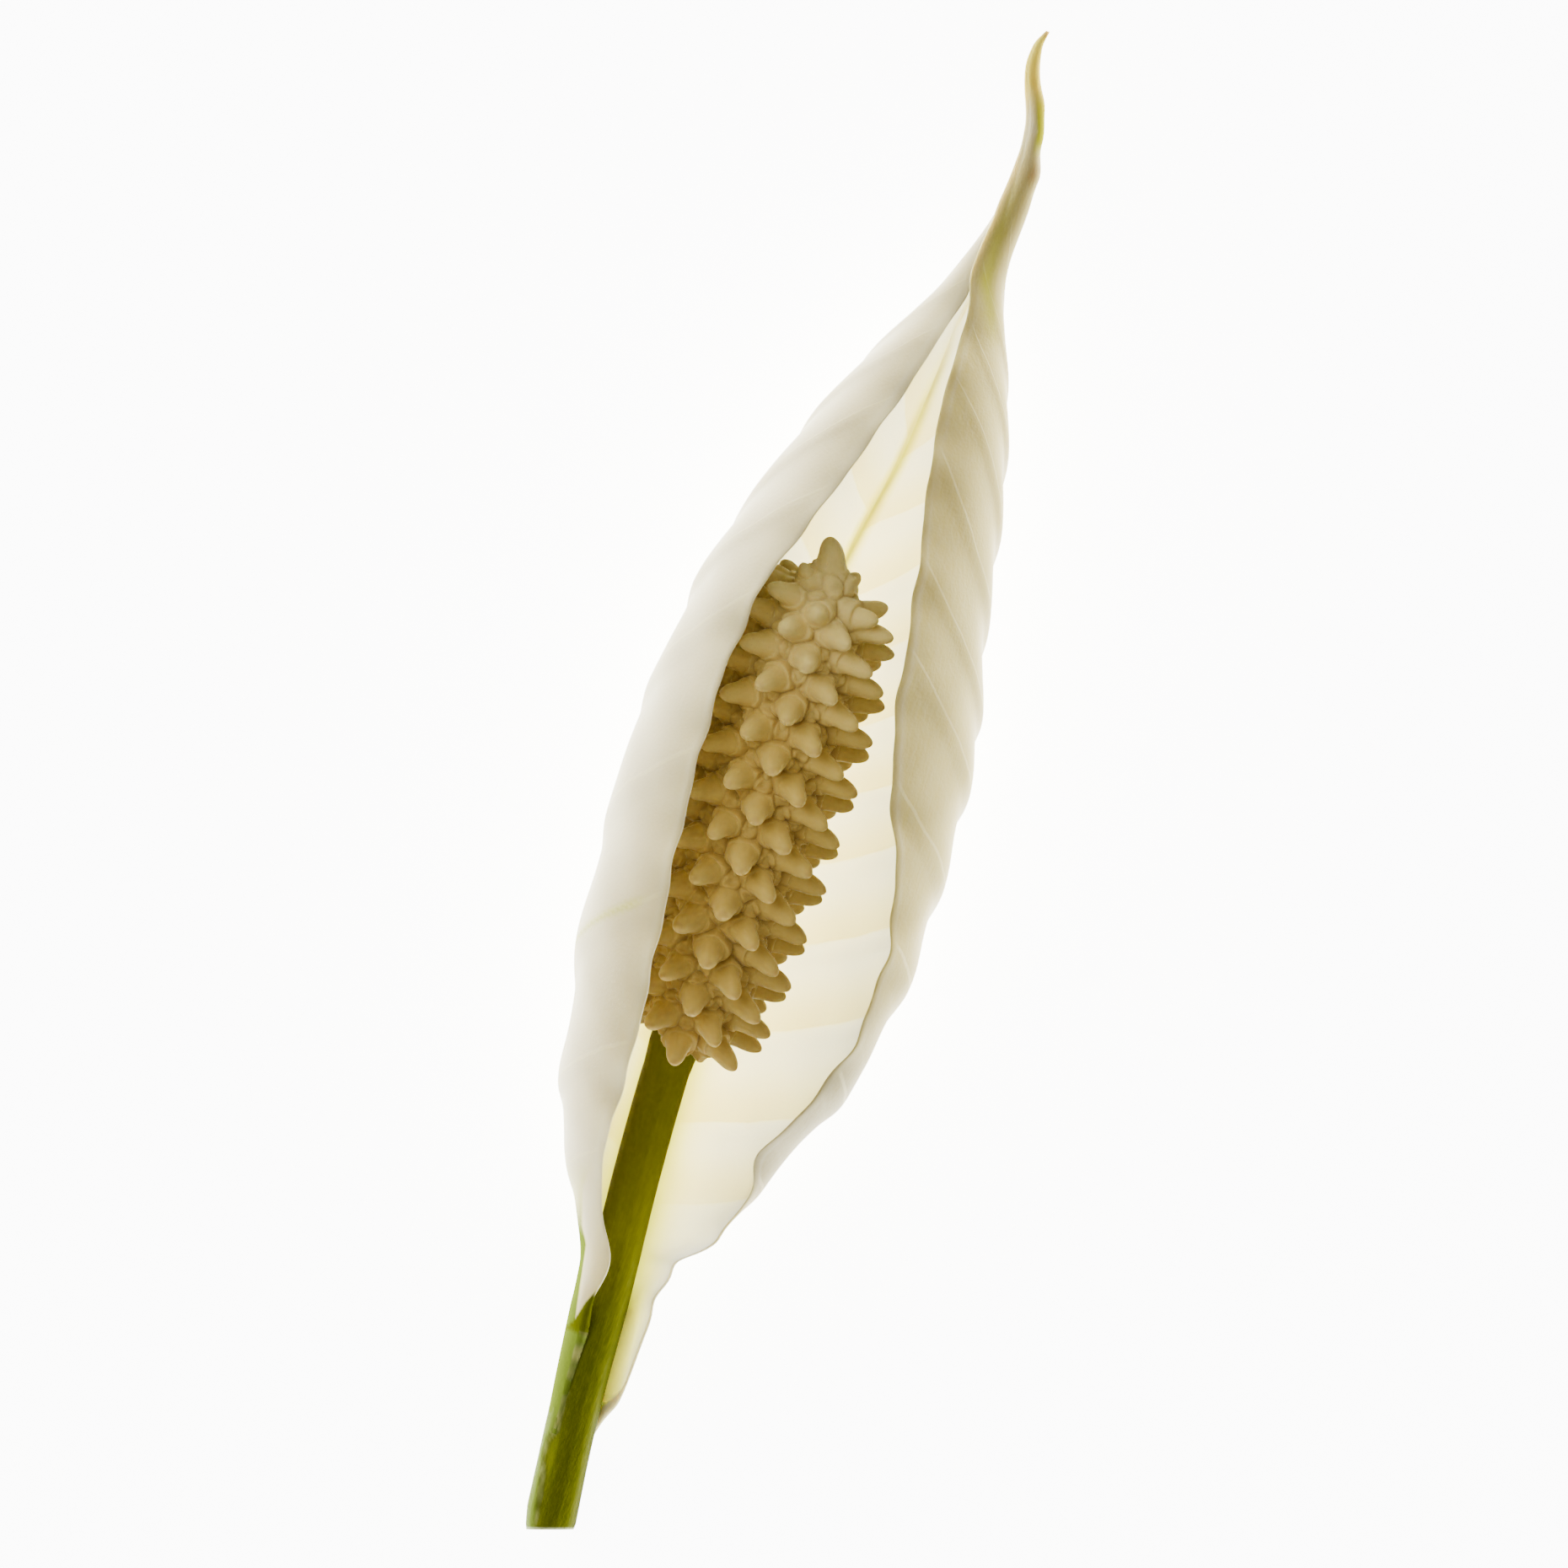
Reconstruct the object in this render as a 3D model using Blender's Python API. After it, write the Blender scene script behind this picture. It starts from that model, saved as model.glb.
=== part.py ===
"""A cut peace lily bloom on its back: a hooded white spathe round a spadix of packed florets, on a short stem.

The bloom is modelled in its own frame, in metres: +Y runs from the cut end of the stem to the tip of the
spathe, +X is to the right of someone who looks into the open front, and +Z points at them. An empty then
tips the whole bloom back, so that it lies on the keel of its spathe and the foot of its stem, and moves it
so that the middle of its footprint is the origin.
"""

import math

import bmesh
import bpy
import numpy as np
from mathutils import Euler, Vector

# Driving dimensions, in metres
STEM_RADIUS = 0.00215
STALK_LENGTH = 0.044  # from the cut end to the lowest florets
SPADIX_LENGTH = 0.048  # as seen from the front
HOOD_LENGTH = 0.0487  # from the top of the spadix to the tip of the spathe
SPATHE_WALL = 0.00045
AXIS_RADIUS = 0.0023  # the stem's end inside the florets
CORE_RADIUS = 0.0045  # from the axis out to the seams between the florets
PISTIL_RADIUS = 0.0013
PISTIL_LENGTH = 0.0042  # from those seams to a pistil's tip
TEPAL_RISE = 0.0005  # of the tepals above the seams
CORE_FOOT = -0.0011  # place of the core's lower pole, along the axis from the top of the stalk
TIP_REACH = 0.0035  # from the core's upper pole to the top of the spadix
LEFT_ROOM = 0.0039  # from the pistils' tips out to the spathe, on the left
RIGHT_ROOM = 0.0092  # and on the right
DEPTH_ROOM = 0.0041  # how much more than the pistils' reach half the depth of the spathe is
UNDER_ROOM = 0.0034  # from the pistils' tips down to the keel of the spathe, halfway up the spadix
CLEARANCE = 0.0003  # between pieces that touch

# Angles, in degrees
LIE_TILT = 10.0  # how far the bloom tips back to lie on its keel
LIE_ROLL = 0.0  # and rolls to its right
SPADIX_LEAN = 9.0  # rise of the spadix above what the bloom lies on
CUT_SLANT = 18.0  # of the cut end, across the stem
FIRST_FLORET = 4.0  # round from the front, to the right
SHARP_EDGE = 50.0  # between faces that aren't shaded as one smooth skin

# The florets stand on a spiral. Each is turned by TURN from the one before, so RING of them, one in each of
# as many straight columns, make a closed zigzag ring, and the last ring leaves room for the crown.
TURN = 48.0
RING = 15
RINGS = 8
STEP_UP = 8  # from a floret to its upper neighbour on the right
CORE_ROUNDNESS = 3.0  # exponent of the core's outline
CORE_END = 0.0036  # along that outline, from its lower pole to the lowest florets
CROWN_END = 0.0062  # and from the last ring to its upper pole
CROWN_PEAK = 0.0020  # and from the other florets to that pole
CORNER_SPLIT = 5.0  # degrees: half the width of the short edge above and below each floret
TEPAL_SPREAD = 0.78  # share of the way from a pistil's foot to its cell's edge where the tepals crest
PISTIL_SHAPE = [(0.1, 1.0), (0.62, 0.78)]  # shares of a pistil's length, and its radius there
TOP_PISTIL = 0.8  # radius of the pistil on the upper pole, as a share of the others'

THINNEST = 0.4  # wall of the spathe, as a share of its reach, where the rolled tip has no room for more
SPATHE_ROWS = 44
SPATHE_COLUMNS = 20
STEM_SIDES = 16
STALK_STEPS = 8
AXIS_STEPS = 4
SLOPE_STEP = 0.25  # of the climb from one floret to the next, to each side of where a slope is read

# What follows from them
REACH = CORE_RADIUS + PISTIL_LENGTH
CLASP = STEM_RADIUS + CLEARANCE + SPATHE_WALL
SPATHE_LEFT = REACH + LEFT_ROOM
SPATHE_RIGHT = REACH + RIGHT_ROOM
SPATHE_DEPTH = REACH + DEPTH_ROOM
SPADIX_RISE = SPADIX_LENGTH * math.tan(math.radians(SPADIX_LEAN))
SPADIX_HEIGHT = SPATHE_WALL + UNDER_ROOM + REACH  # of its middle
SPADIX_BASE = SPADIX_HEIGHT - SPADIX_RISE / 2
RING_GAP = 0.6 * CLEARANCE  # from each ring's edge to the line halfway between two rings
HEADROOM = 2 * CLEARANCE  # from the top of the stem to the crown


def stalk(share):
    return share * STALK_LENGTH


def chamber(share):
    return STALK_LENGTH + share * SPADIX_LENGTH


def hood(share):
    return STALK_LENGTH + SPADIX_LENGTH + share * HOOD_LENGTH


# The stem's middle line: place along the bloom, and offset to the right in metres
STEM_LINE = [
    (stalk(0.0), 0.0),
    (stalk(0.25), -0.0011),
    (stalk(0.5), -0.0017),
    (stalk(0.75), -0.0025),
    (stalk(1.0), -0.0029),
    (chamber(1.0), -0.0027),
]

# Cross-sections of the spathe, each an open arc: place along the bloom; offset of its lowest point; how much
# of the clasp round the stem is left; reach to the left, to the right and down, as shares of the greatest;
# the two edges, in degrees round from the lowest point; height of the lowest point. Where offset and height
# are None, the spathe clasps the stem.
SPATHE_SECTIONS = [
    (stalk(0.19), None, 1.0, 0.00, 0.00, 0.00, 140, 48, None),
    (stalk(0.25), None, 1.0, 0.00, 0.02, 0.00, 143, 75, None),
    (stalk(0.32), None, 1.0, 0.00, 0.05, 0.00, 145, 88, None),
    (stalk(0.45), None, 1.0, 0.02, 0.08, 0.03, 150, 88, None),
    (stalk(0.55), -0.0018, 0.85, 0.06, 0.14, 0.13, 169, 88, 0.0018),
    (stalk(0.64), -0.0017, 0.4, 0.31, 0.33, 0.32, 149, 88, 0.0013),
    (stalk(0.73), -0.0019, 0.2, 0.51, 0.48, 0.51, 147, 96, 0.0010),
    (stalk(0.86), -0.0022, 0.0, 0.72, 0.66, 0.73, 154, 124, 0.0007),
    (chamber(0.0), -0.0024, 0.0, 0.81, 0.84, 0.86, 157, 121, 0.0004),
    (chamber(0.17), -0.0025, 0.0, 0.92, 0.96, 0.96, 156, 118, 0.00015),
    (chamber(0.38), -0.0025, 0.0, 0.98, 1.00, 0.99, 152, 125, 0.00002),
    (chamber(0.58), -0.0025, 0.0, 1.00, 0.98, 1.00, 149, 140, 0.0),
    (chamber(0.75), -0.0025, 0.0, 0.94, 0.93, 1.00, 147, 147, 0.0001),
    (chamber(0.90), -0.0022, 0.0, 0.88, 0.81, 0.98, 149, 148, 0.0005),
    (hood(0.04), -0.0012, 0.0, 0.81, 0.68, 0.88, 155, 153, 0.0014),
    (hood(0.18), 0.0001, 0.0, 0.72, 0.54, 0.72, 158, 163, 0.0029),
    (hood(0.33), 0.0008, 0.0, 0.53, 0.385, 0.51, 163, 170, 0.0050),
    (hood(0.45), 0.0012, 0.0, 0.32, 0.235, 0.31, 168, 170, 0.0070),
    (hood(0.55), 0.0017, 0.0, 0.17, 0.126, 0.17, 168, 168, 0.0084),
    (hood(0.70), 0.0028, 0.0, 0.092, 0.067, 0.092, 165, 165, 0.0096),
    (hood(0.82), 0.0024, 0.0, 0.062, 0.045, 0.062, 160, 160, 0.0100),
    (hood(0.92), 0.0006, 0.0, 0.048, 0.035, 0.048, 158, 158, 0.0099),
    (hood(0.97), 0.0003, 0.0, 0.028, 0.021, 0.028, 155, 155, 0.0097),
    (hood(1.0), 0.0007, 0.0, 0.012, 0.009, 0.012, 150, 150, 0.0096),
]


def through(points, x):
    """The smooth curve through (x, value) points, read at x: a cubic with Catmull-Rom slopes."""
    last = len(points) - 1
    i = max((n for n in range(last) if points[n][0] <= x), default=0)
    (x0, y0), (x1, y1) = points[i], points[i + 1]

    def slope(n):
        before, after = points[max(n - 1, 0)], points[min(n + 1, last)]
        return (after[1] - before[1]) / (after[0] - before[0])

    span = x1 - x0
    t = (x - x0) / span
    rise = t * t * (3 - 2 * t)
    start = slope(i) * span * t * (1 - t) ** 2
    end = slope(i + 1) * span * t * t * (t - 1)
    return y0 + (y1 - y0) * rise + start + end


def lifted(y, height):
    """The bloom's own Z of a point at y that stands this high once the bloom has tipped back."""
    tilt = math.radians(LIE_TILT)
    return (height + y * math.sin(tilt)) / math.cos(tilt)


def stem_height(y):
    """Height of the stem's middle line: from its foot, which touches the ground, up through the spadix."""
    if y <= STALK_LENGTH:
        return STEM_RADIUS + (SPADIX_BASE - STEM_RADIUS) * y / STALK_LENGTH
    return SPADIX_BASE + SPADIX_RISE * (y - STALK_LENGTH) / SPADIX_LENGTH


def stem_point(y):
    return Vector((through(STEM_LINE, y), y, lifted(y, stem_height(y))))


def piece_of(name, bm, material, bloom):
    """One named object of this mesh, with its faces out, shaded smooth, riding on the bloom."""
    bmesh.ops.recalc_face_normals(bm, faces=bm.faces)
    mesh = bpy.data.meshes.new(name)
    bm.to_mesh(mesh)
    bm.free()
    mesh.shade_smooth()
    mesh.set_sharp_from_angle(angle=math.radians(SHARP_EDGE))
    mesh.materials.append(material)
    piece = bpy.data.objects.new(name, mesh)
    bpy.context.scene.collection.objects.link(piece)
    piece.parent = bloom
    return piece


def plain_material(name, colour, roughness):
    made = bpy.data.materials.new(name)
    made.use_nodes = True
    shader = made.node_tree.nodes["Principled BSDF"]
    shader.inputs["Base Color"].default_value = (*colour, 1)
    shader.inputs["Roughness"].default_value = roughness
    shader.inputs["Metallic"].default_value = 0.0
    return made


def bridge(bm, first, second):
    """Quads between two closed loops of as many points."""
    for n in range(len(first)):
        after = (n + 1) % len(first)
        bm.faces.new((first[n], first[after], second[after], second[n]))


def ring_wall(bm, outside, inside):
    """Like bridge, but of triangles that all slope the same way, so that walls facing each other match."""
    for n in range(len(outside)):
        after = (n + 1) % len(outside)
        bm.faces.new((outside[n], outside[after], inside[n]))
        bm.faces.new((outside[after], inside[after], inside[n]))


# ---- the spathe

def spathe_curves():
    """The section table as seven curves along the bloom, in metres and radians."""
    rows = []
    for y, offset, clasp, left, right, depth, edge_left, edge_right, height in SPATHE_SECTIONS:
        row = [y]
        row.append(through(STEM_LINE, y) if offset is None else offset)
        row += [clasp * CLASP + left * SPATHE_LEFT, clasp * CLASP + right * SPATHE_RIGHT]
        row.append(clasp * CLASP + depth * SPATHE_DEPTH)
        row += [math.radians(edge_left), math.radians(edge_right)]
        row.append(stem_height(y) - CLASP if height is None else height)
        rows.append(row)
    return [[(row[0], row[n]) for row in rows] for n in range(1, 8)]


def spathe_point(section, y, across, inward):
    """A point of one section: across runs from -1 to 1, left to right, and inward is 1 on the inner face."""
    offset, left, right, depth, edge_left, edge_right, height = section
    reach = left if across < 0 else right
    angle = across * (edge_left if across < 0 else edge_right)
    thickness = min(SPATHE_WALL, THINNEST * reach)
    out = Vector((depth * math.sin(angle), 0, -reach * math.cos(angle))).normalized()
    low = lifted(y, height)
    outer = Vector((offset + reach * math.sin(angle), y, low + depth * (1 - math.cos(angle))))
    return outer - out * thickness * inward


def make_spathe(white, bloom):
    """A thin shell: each cross-section is a closed band, and the bands are bridged from foot to tip."""
    curves = spathe_curves()
    start, end = SPATHE_SECTIONS[0][0], SPATHE_SECTIONS[-1][0]
    across = [2 * n / SPATHE_COLUMNS - 1 for n in range(SPATHE_COLUMNS + 1)]
    bm = bmesh.new()
    bands = []
    for row in range(SPATHE_ROWS + 1):
        y = start + (end - start) * row / SPATHE_ROWS
        section = [through(curve, y) for curve in curves]
        outer = [bm.verts.new(spathe_point(section, y, a, 0)) for a in across]
        inner = [bm.verts.new(spathe_point(section, y, a, 1)) for a in across]
        bands.append((outer, inner))
    for (outer, inner), (next_outer, next_inner) in zip(bands, bands[1:]):
        bridge(bm, outer + inner[::-1], next_outer + next_inner[::-1])
    for outer, inner in (bands[0], bands[-1]):
        for n in range(SPATHE_COLUMNS):
            bm.faces.new((outer[n], outer[n + 1], inner[n + 1], inner[n]))
    return piece_of("spathe", bm, white, bloom)


# ---- the florets

class Core:
    """The spadix without its pistils: a rounded column, measured along its outline from its lower pole."""

    def __init__(self):
        self.base = stem_point(STALK_LENGTH)
        along = stem_point(chamber(1.0)) - self.base
        self.length = along.length
        self.along = along.normalized()
        self.front = (Vector((0, 0, 1)) - self.along * self.along.z).normalized()
        self.right = self.along.cross(self.front)
        half = (self.length - CORE_FOOT - TIP_REACH) / 2
        turn = np.linspace(0, math.pi, 2001)
        power = 2 / CORE_ROUNDNESS
        self.radii = CORE_RADIUS * np.abs(np.sin(turn)) ** power
        self.places = CORE_FOOT + half - half * np.sign(np.cos(turn)) * np.abs(np.cos(turn)) ** power
        steps = np.hypot(np.diff(self.radii), np.diff(self.places))
        self.arcs = np.concatenate(([0], np.cumsum(steps)))
        self.climb = (self.arcs[-1] - CORE_END - CROWN_END) / (RING * RINGS + RING - 1)

    def arc(self, count):
        """Where floret number count stands, along the outline. Half numbers are corners between florets."""
        return CORE_END + (count + RING / 2) * self.climb

    def arc_of(self, point):
        """The length along the outline below a point that lies on it."""
        radius = (point - self.base - self.along * (point - self.base).dot(self.along)).length
        gaps = np.hypot(self.radii - radius, self.places - (point - self.base).dot(self.along))
        return self.arcs[int(np.argmin(gaps))]

    def outline(self, arc):
        """Radius and place of the outline, and its outward direction as (radial, along)."""
        radius, place = np.interp(arc, self.arcs, self.radii), np.interp(arc, self.arcs, self.places)
        near = arc + self.climb * SLOPE_STEP * np.array([-1, 1])
        rise = np.diff(np.interp(near, self.arcs, self.places))[0]
        spread = np.diff(np.interp(near, self.arcs, self.radii))[0]
        return radius, place, rise / math.hypot(rise, spread), -spread / math.hypot(rise, spread)

    def at(self, angle, radius, place):
        """The point this far from the axis and along it, at this angle round from the front to the right."""
        sideways = self.front * math.cos(angle) + self.right * math.sin(angle)
        return self.base + sideways * radius + self.along * place

    def normal(self, angle, radial, along):
        sideways = self.front * math.cos(angle) + self.right * math.sin(angle)
        return sideways * radial + self.along * along


def floret_angle(count):
    return math.radians(FIRST_FLORET + TURN * count)


def grow_floret(bm, rim, foot, out, girth):
    """Cover the closed loop rim with a ridge of tepals and a blunt pistil that stands on foot, along out."""
    low = out * TEPAL_RISE
    tepals = [bm.verts.new(foot.lerp(v.co, TEPAL_SPREAD) + low) for v in rim]
    bridge(bm, rim, tepals)
    loop = tepals
    for height, radius in PISTIL_SHAPE:
        middle = foot + low + out * PISTIL_LENGTH * height
        ring = []
        for v in rim:
            sideways = v.co - foot
            sideways = (sideways - out * sideways.dot(out)).normalized()
            ring.append(bm.verts.new(middle + sideways * girth * radius))
        bridge(bm, loop, ring)
        loop = ring
    tip = bm.verts.new(foot + out * PISTIL_LENGTH)
    for n in range(len(loop)):
        bm.faces.new((loop[n], loop[(n + 1) % len(loop)], tip))


def boundary(core, order, above):
    """The zigzag above (or below) a ring as (angle, arc) points, two to a column, pulled in to leave the gap.

    The pull is worked out on the unrolled outline, square to both edges that meet at each point.
    """
    half, pull = (RING / 2, -RING_GAP) if above else (-RING / 2, RING_GAP)
    column_turn = math.tau / RING
    start = floret_angle(order[0])
    points = []
    for column, count in enumerate(order):
        for side in (-1, 1):
            angle = start + column * column_turn + side * math.radians(CORNER_SPLIT)
            points.append(Vector((angle * CORE_RADIUS, core.arc(count + half))))
    lap = Vector((math.tau * CORE_RADIUS, 0))
    round_again = [points[-1] - lap, *points, points[0] + lap]
    pulled = []
    for before, point, after in zip(round_again, points, round_again[2:]):
        first, second = (point - before).normalized(), (after - point).normalized()
        normals = Vector((-first.y, first.x)), Vector((-second.y, second.x))
        pulled.append(point + (normals[0] + normals[1]) * pull / (1 + normals[0].dot(normals[1])))
    return [(point.x / CORE_RADIUS, point.y) for point in pulled]


def loop_of(bm, core, points, inner):
    """The boundary's vertices on the outline or, if inner, straight in from there beside the axis."""
    loop = []
    for angle, arc in points:
        radius, place, _, _ = core.outline(arc)
        if inner:
            radius = (AXIS_RADIUS + CLEARANCE) / math.cos(math.pi / RING)
        loop.append(bm.verts.new(core.at(angle, radius, place)))
    return loop


def in_column_order(first):
    """The numbers of the ring's florets, from each column to the next on the right."""
    return [first + (STEP_UP * column) % RING for column in range(RING)]


def corners(loop, order):
    """The loop's vertices by floret number: the left and right ends of each floret's short edge."""
    return {count: (loop[2 * column], loop[2 * column + 1]) for column, count in enumerate(order)}


def cover(bm, core, order, column, bottoms, tops):
    """Build one floret on the cell between its corners and those of its neighbours in the ring."""
    count, left, right = order[column], order[column - 1], order[(column + 1) % RING]
    right_corner = bottoms[right][0] if right > count else tops[right][0]
    left_corner = bottoms[left][1] if left > count else tops[left][1]
    rim = [*bottoms[count], right_corner, *tops[count][::-1], left_corner]
    angle = floret_angle(count)
    low, high = [core.arc_of(pair[0].co) for pair in (bottoms[count], tops[count])]
    radius, place, radial, along = core.outline((low + high) / 2)
    girth = PISTIL_RADIUS * radius / CORE_RADIUS
    grow_floret(bm, rim, core.at(angle, radius, place), core.normal(angle, radial, along), girth)


def make_ring(core, number, cream, bloom):
    """One zigzag ring of florets round the axis: its outside, its inside and the two walls between them."""
    order = in_column_order(RING * number)
    bm = bmesh.new()
    below, above = boundary(core, order, False), boundary(core, order, True)
    bottom, top = loop_of(bm, core, below, False), loop_of(bm, core, above, False)
    for column in range(RING):
        cover(bm, core, order, column, corners(bottom, order), corners(top, order))
    bottom_inside, top_inside = loop_of(bm, core, below, True), loop_of(bm, core, above, True)
    ring_wall(bm, bottom, bottom_inside)
    ring_wall(bm, top, top_inside)
    bridge(bm, bottom_inside, top_inside)
    return piece_of(f"floret_ring_{number + 1:02d}", bm, cream, bloom)


def make_crown(core, cream, bloom):
    """The florets that close the top: the spiral goes on to a circle of peaks, and one more stands in it."""
    first = RING * RINGS
    order = in_column_order(first)
    bm = bmesh.new()
    below = boundary(core, order, False)
    bottom, bottom_inside = loop_of(bm, core, below, False), loop_of(bm, core, below, True)
    ring_wall(bm, bottom, bottom_inside)
    floor = bm.verts.new(sum((v.co for v in bottom_inside), Vector()) / len(bottom_inside))
    for n in range(len(bottom_inside)):
        bm.faces.new((bottom_inside[n], bottom_inside[(n + 1) % len(bottom_inside)], floor))

    pole, split = core.arcs[-1], math.radians(CORNER_SPLIT)
    peaks = loop_of(bm, core, [(floret_angle(count), pole - CROWN_PEAK) for count in order], False)
    tops = {}
    for peak, count in zip(peaks, order):
        pair = [(floret_angle(count) + side, core.arc(count + RING / 2)) for side in (-split, split)]
        tops[count] = loop_of(bm, core, pair, False) if count < first + STEP_UP else [peak]
    for column in range(RING):
        cover(bm, core, order, column, corners(bottom, order), tops)
    for column, count in enumerate(order):
        after = (column + 1) % RING
        if len(tops[count]) > 1:
            bm.faces.new((*tops[count], peaks[column]))
        between = [tops[count][-1], tops[order[after]][0], peaks[after], peaks[column]]
        bm.faces.new(dict.fromkeys(between))
    grow_floret(bm, peaks, core.at(0, 0, core.length - TIP_REACH), core.along, PISTIL_RADIUS * TOP_PISTIL)
    return piece_of("floret_crown", bm, cream, bloom)


# ---- the stem

def make_stem(core, green, bloom):
    """The stem from its slanting cut up through the florets, which all stand on its upper end."""
    crown_foot = core.outline(core.arc(RING * RINGS - RING / 2))[1]
    neck = core.outline(core.arc(-RING / 2))[1]
    rings = [(stem_point(stalk(n / STALK_STEPS)), STEM_RADIUS, 0.0) for n in range(1, STALK_STEPS)]
    rings.insert(0, (stem_point(0.0), STEM_RADIUS, math.tan(math.radians(CUT_SLANT))))
    end = crown_foot - HEADROOM
    for n in range(AXIS_STEPS + 1):
        place = neck + (end - neck) * n / AXIS_STEPS
        rings.append((core.base + core.along * place, AXIS_RADIUS, 0.0))
    bm = bmesh.new()
    loops = []
    for middle, radius, slant in rings:
        loop = []
        for n in range(STEM_SIDES):
            angle = math.tau * n / STEM_SIDES
            x, z = radius * math.sin(angle), -radius * math.cos(angle)
            loop.append(bm.verts.new(middle + Vector((x, x * slant, z))))
        loops.append(loop)
    for below, above in zip(loops, loops[1:]):
        bridge(bm, below, above)
    bm.faces.new(loops[0])
    bm.faces.new(loops[-1])
    return piece_of("flower_stem", bm, green, bloom)


def lay_down(bloom, pieces):
    """Tip the bloom onto its keel, with the lowest point on the ground and its footprint round the origin."""
    turn = Euler((-math.radians(LIE_TILT), math.radians(LIE_ROLL), 0)).to_matrix()
    points = [turn @ v.co for piece in pieces for v in piece.data.vertices]
    low = [min(p[axis] for p in points) for axis in range(3)]
    high = [max(p[axis] for p in points) for axis in range(3)]
    bloom.rotation_euler = turn.to_euler()
    bloom.location = (-(low[0] + high[0]) / 2, -(low[1] + high[1]) / 2, -low[2])


def main():
    for old in list(bpy.data.objects):
        bpy.data.objects.remove(old)
    bloom = bpy.data.objects.new("bloom", None)
    bpy.context.scene.collection.objects.link(bloom)
    white = plain_material("spathe_white", (0.84, 0.82, 0.70), 0.45)
    cream = plain_material("floret_cream", (0.66, 0.50, 0.24), 0.6)
    green = plain_material("stem_green", (0.20, 0.25, 0.03), 0.4)
    core = Core()
    pieces = [make_spathe(white, bloom), make_stem(core, green, bloom), make_crown(core, cream, bloom)]
    pieces += [make_ring(core, number, cream, bloom) for number in range(RINGS)]
    lay_down(bloom, pieces)


main()
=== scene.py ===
"""The looks of a cut peace lily bloom: its spathe, its spadix of florets and its stem, lying on a pale floor.

The bloom is modelled in its own frame, in metres, as the part is: +Y runs from the cut end of the stem to the
tip of the spathe, +X is to the right of someone who looks into the open front, and +Z points at them. Then
piece_of() lays every piece down where the part lies.
"""

import math
import random

import bmesh
import bpy
import numpy as np
from mathutils import Matrix, Vector


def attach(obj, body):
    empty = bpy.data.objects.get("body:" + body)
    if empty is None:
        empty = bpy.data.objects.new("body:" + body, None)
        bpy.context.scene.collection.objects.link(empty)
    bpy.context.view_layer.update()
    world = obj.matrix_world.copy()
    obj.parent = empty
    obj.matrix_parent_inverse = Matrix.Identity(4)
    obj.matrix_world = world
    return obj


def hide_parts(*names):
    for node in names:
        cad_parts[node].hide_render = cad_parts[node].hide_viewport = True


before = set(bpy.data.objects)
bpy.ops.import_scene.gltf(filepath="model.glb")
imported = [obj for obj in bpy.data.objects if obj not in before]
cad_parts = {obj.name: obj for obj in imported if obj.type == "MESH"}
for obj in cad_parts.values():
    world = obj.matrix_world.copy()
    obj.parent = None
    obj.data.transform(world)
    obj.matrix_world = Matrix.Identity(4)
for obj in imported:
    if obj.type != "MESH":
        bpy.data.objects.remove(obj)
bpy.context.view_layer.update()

MM = 0.001

# ---- the part's own values, in metres and degrees

STEM_RADIUS = 0.00215
STALK_LENGTH = 0.044
SPADIX_LENGTH = 0.048
HOOD_LENGTH = 0.0487
SPATHE_WALL = 0.00045
AXIS_RADIUS = 0.0023
CORE_RADIUS = 0.0045
PISTIL_RADIUS = 0.0013
PISTIL_LENGTH = 0.0042
CORE_FOOT = -0.0011
TIP_REACH = 0.0035
CLEARANCE = 0.0003
SPATHE_LEFT = 0.0126
SPATHE_RIGHT = 0.0179
SPATHE_DEPTH = 0.0128
UNDER_ROOM = 0.0034
CORE_ROUNDNESS = 3.0
CORE_END = 0.0036
CROWN_END = 0.0062
CUT_SLANT = 18.0
LIE_TILT = 10.0
SPADIX_LEAN = 9.0
FIRST_FLORET = 4.0
TURN = 48.0
RING = 15
RINGS = 8

CLASP = STEM_RADIUS + CLEARANCE + SPATHE_WALL
SPADIX_RISE = SPADIX_LENGTH * math.tan(math.radians(SPADIX_LEAN))
SPADIX_HEIGHT = SPATHE_WALL + UNDER_ROOM + CORE_RADIUS + PISTIL_LENGTH
SPADIX_BASE = SPADIX_HEIGHT - SPADIX_RISE / 2

# Where the bloom's frame lies once it is laid down
LAID_TURN = Matrix.Rotation(-math.radians(LIE_TILT), 4, "X")
LAID = Matrix.Translation((-0.0001404, -0.0721068, 0.0000066)) @ LAID_TURN


def stalk(share):
    return share * STALK_LENGTH


def chamber(share):
    return STALK_LENGTH + share * SPADIX_LENGTH


def hood(share):
    return STALK_LENGTH + SPADIX_LENGTH + share * HOOD_LENGTH


STEM_LINE = [
    (stalk(0.0), 0.0),
    (stalk(0.25), -0.0011),
    (stalk(0.5), -0.0017),
    (stalk(0.75), -0.0025),
    (stalk(1.0), -0.0029),
    (chamber(1.0), -0.0027),
]

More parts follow.
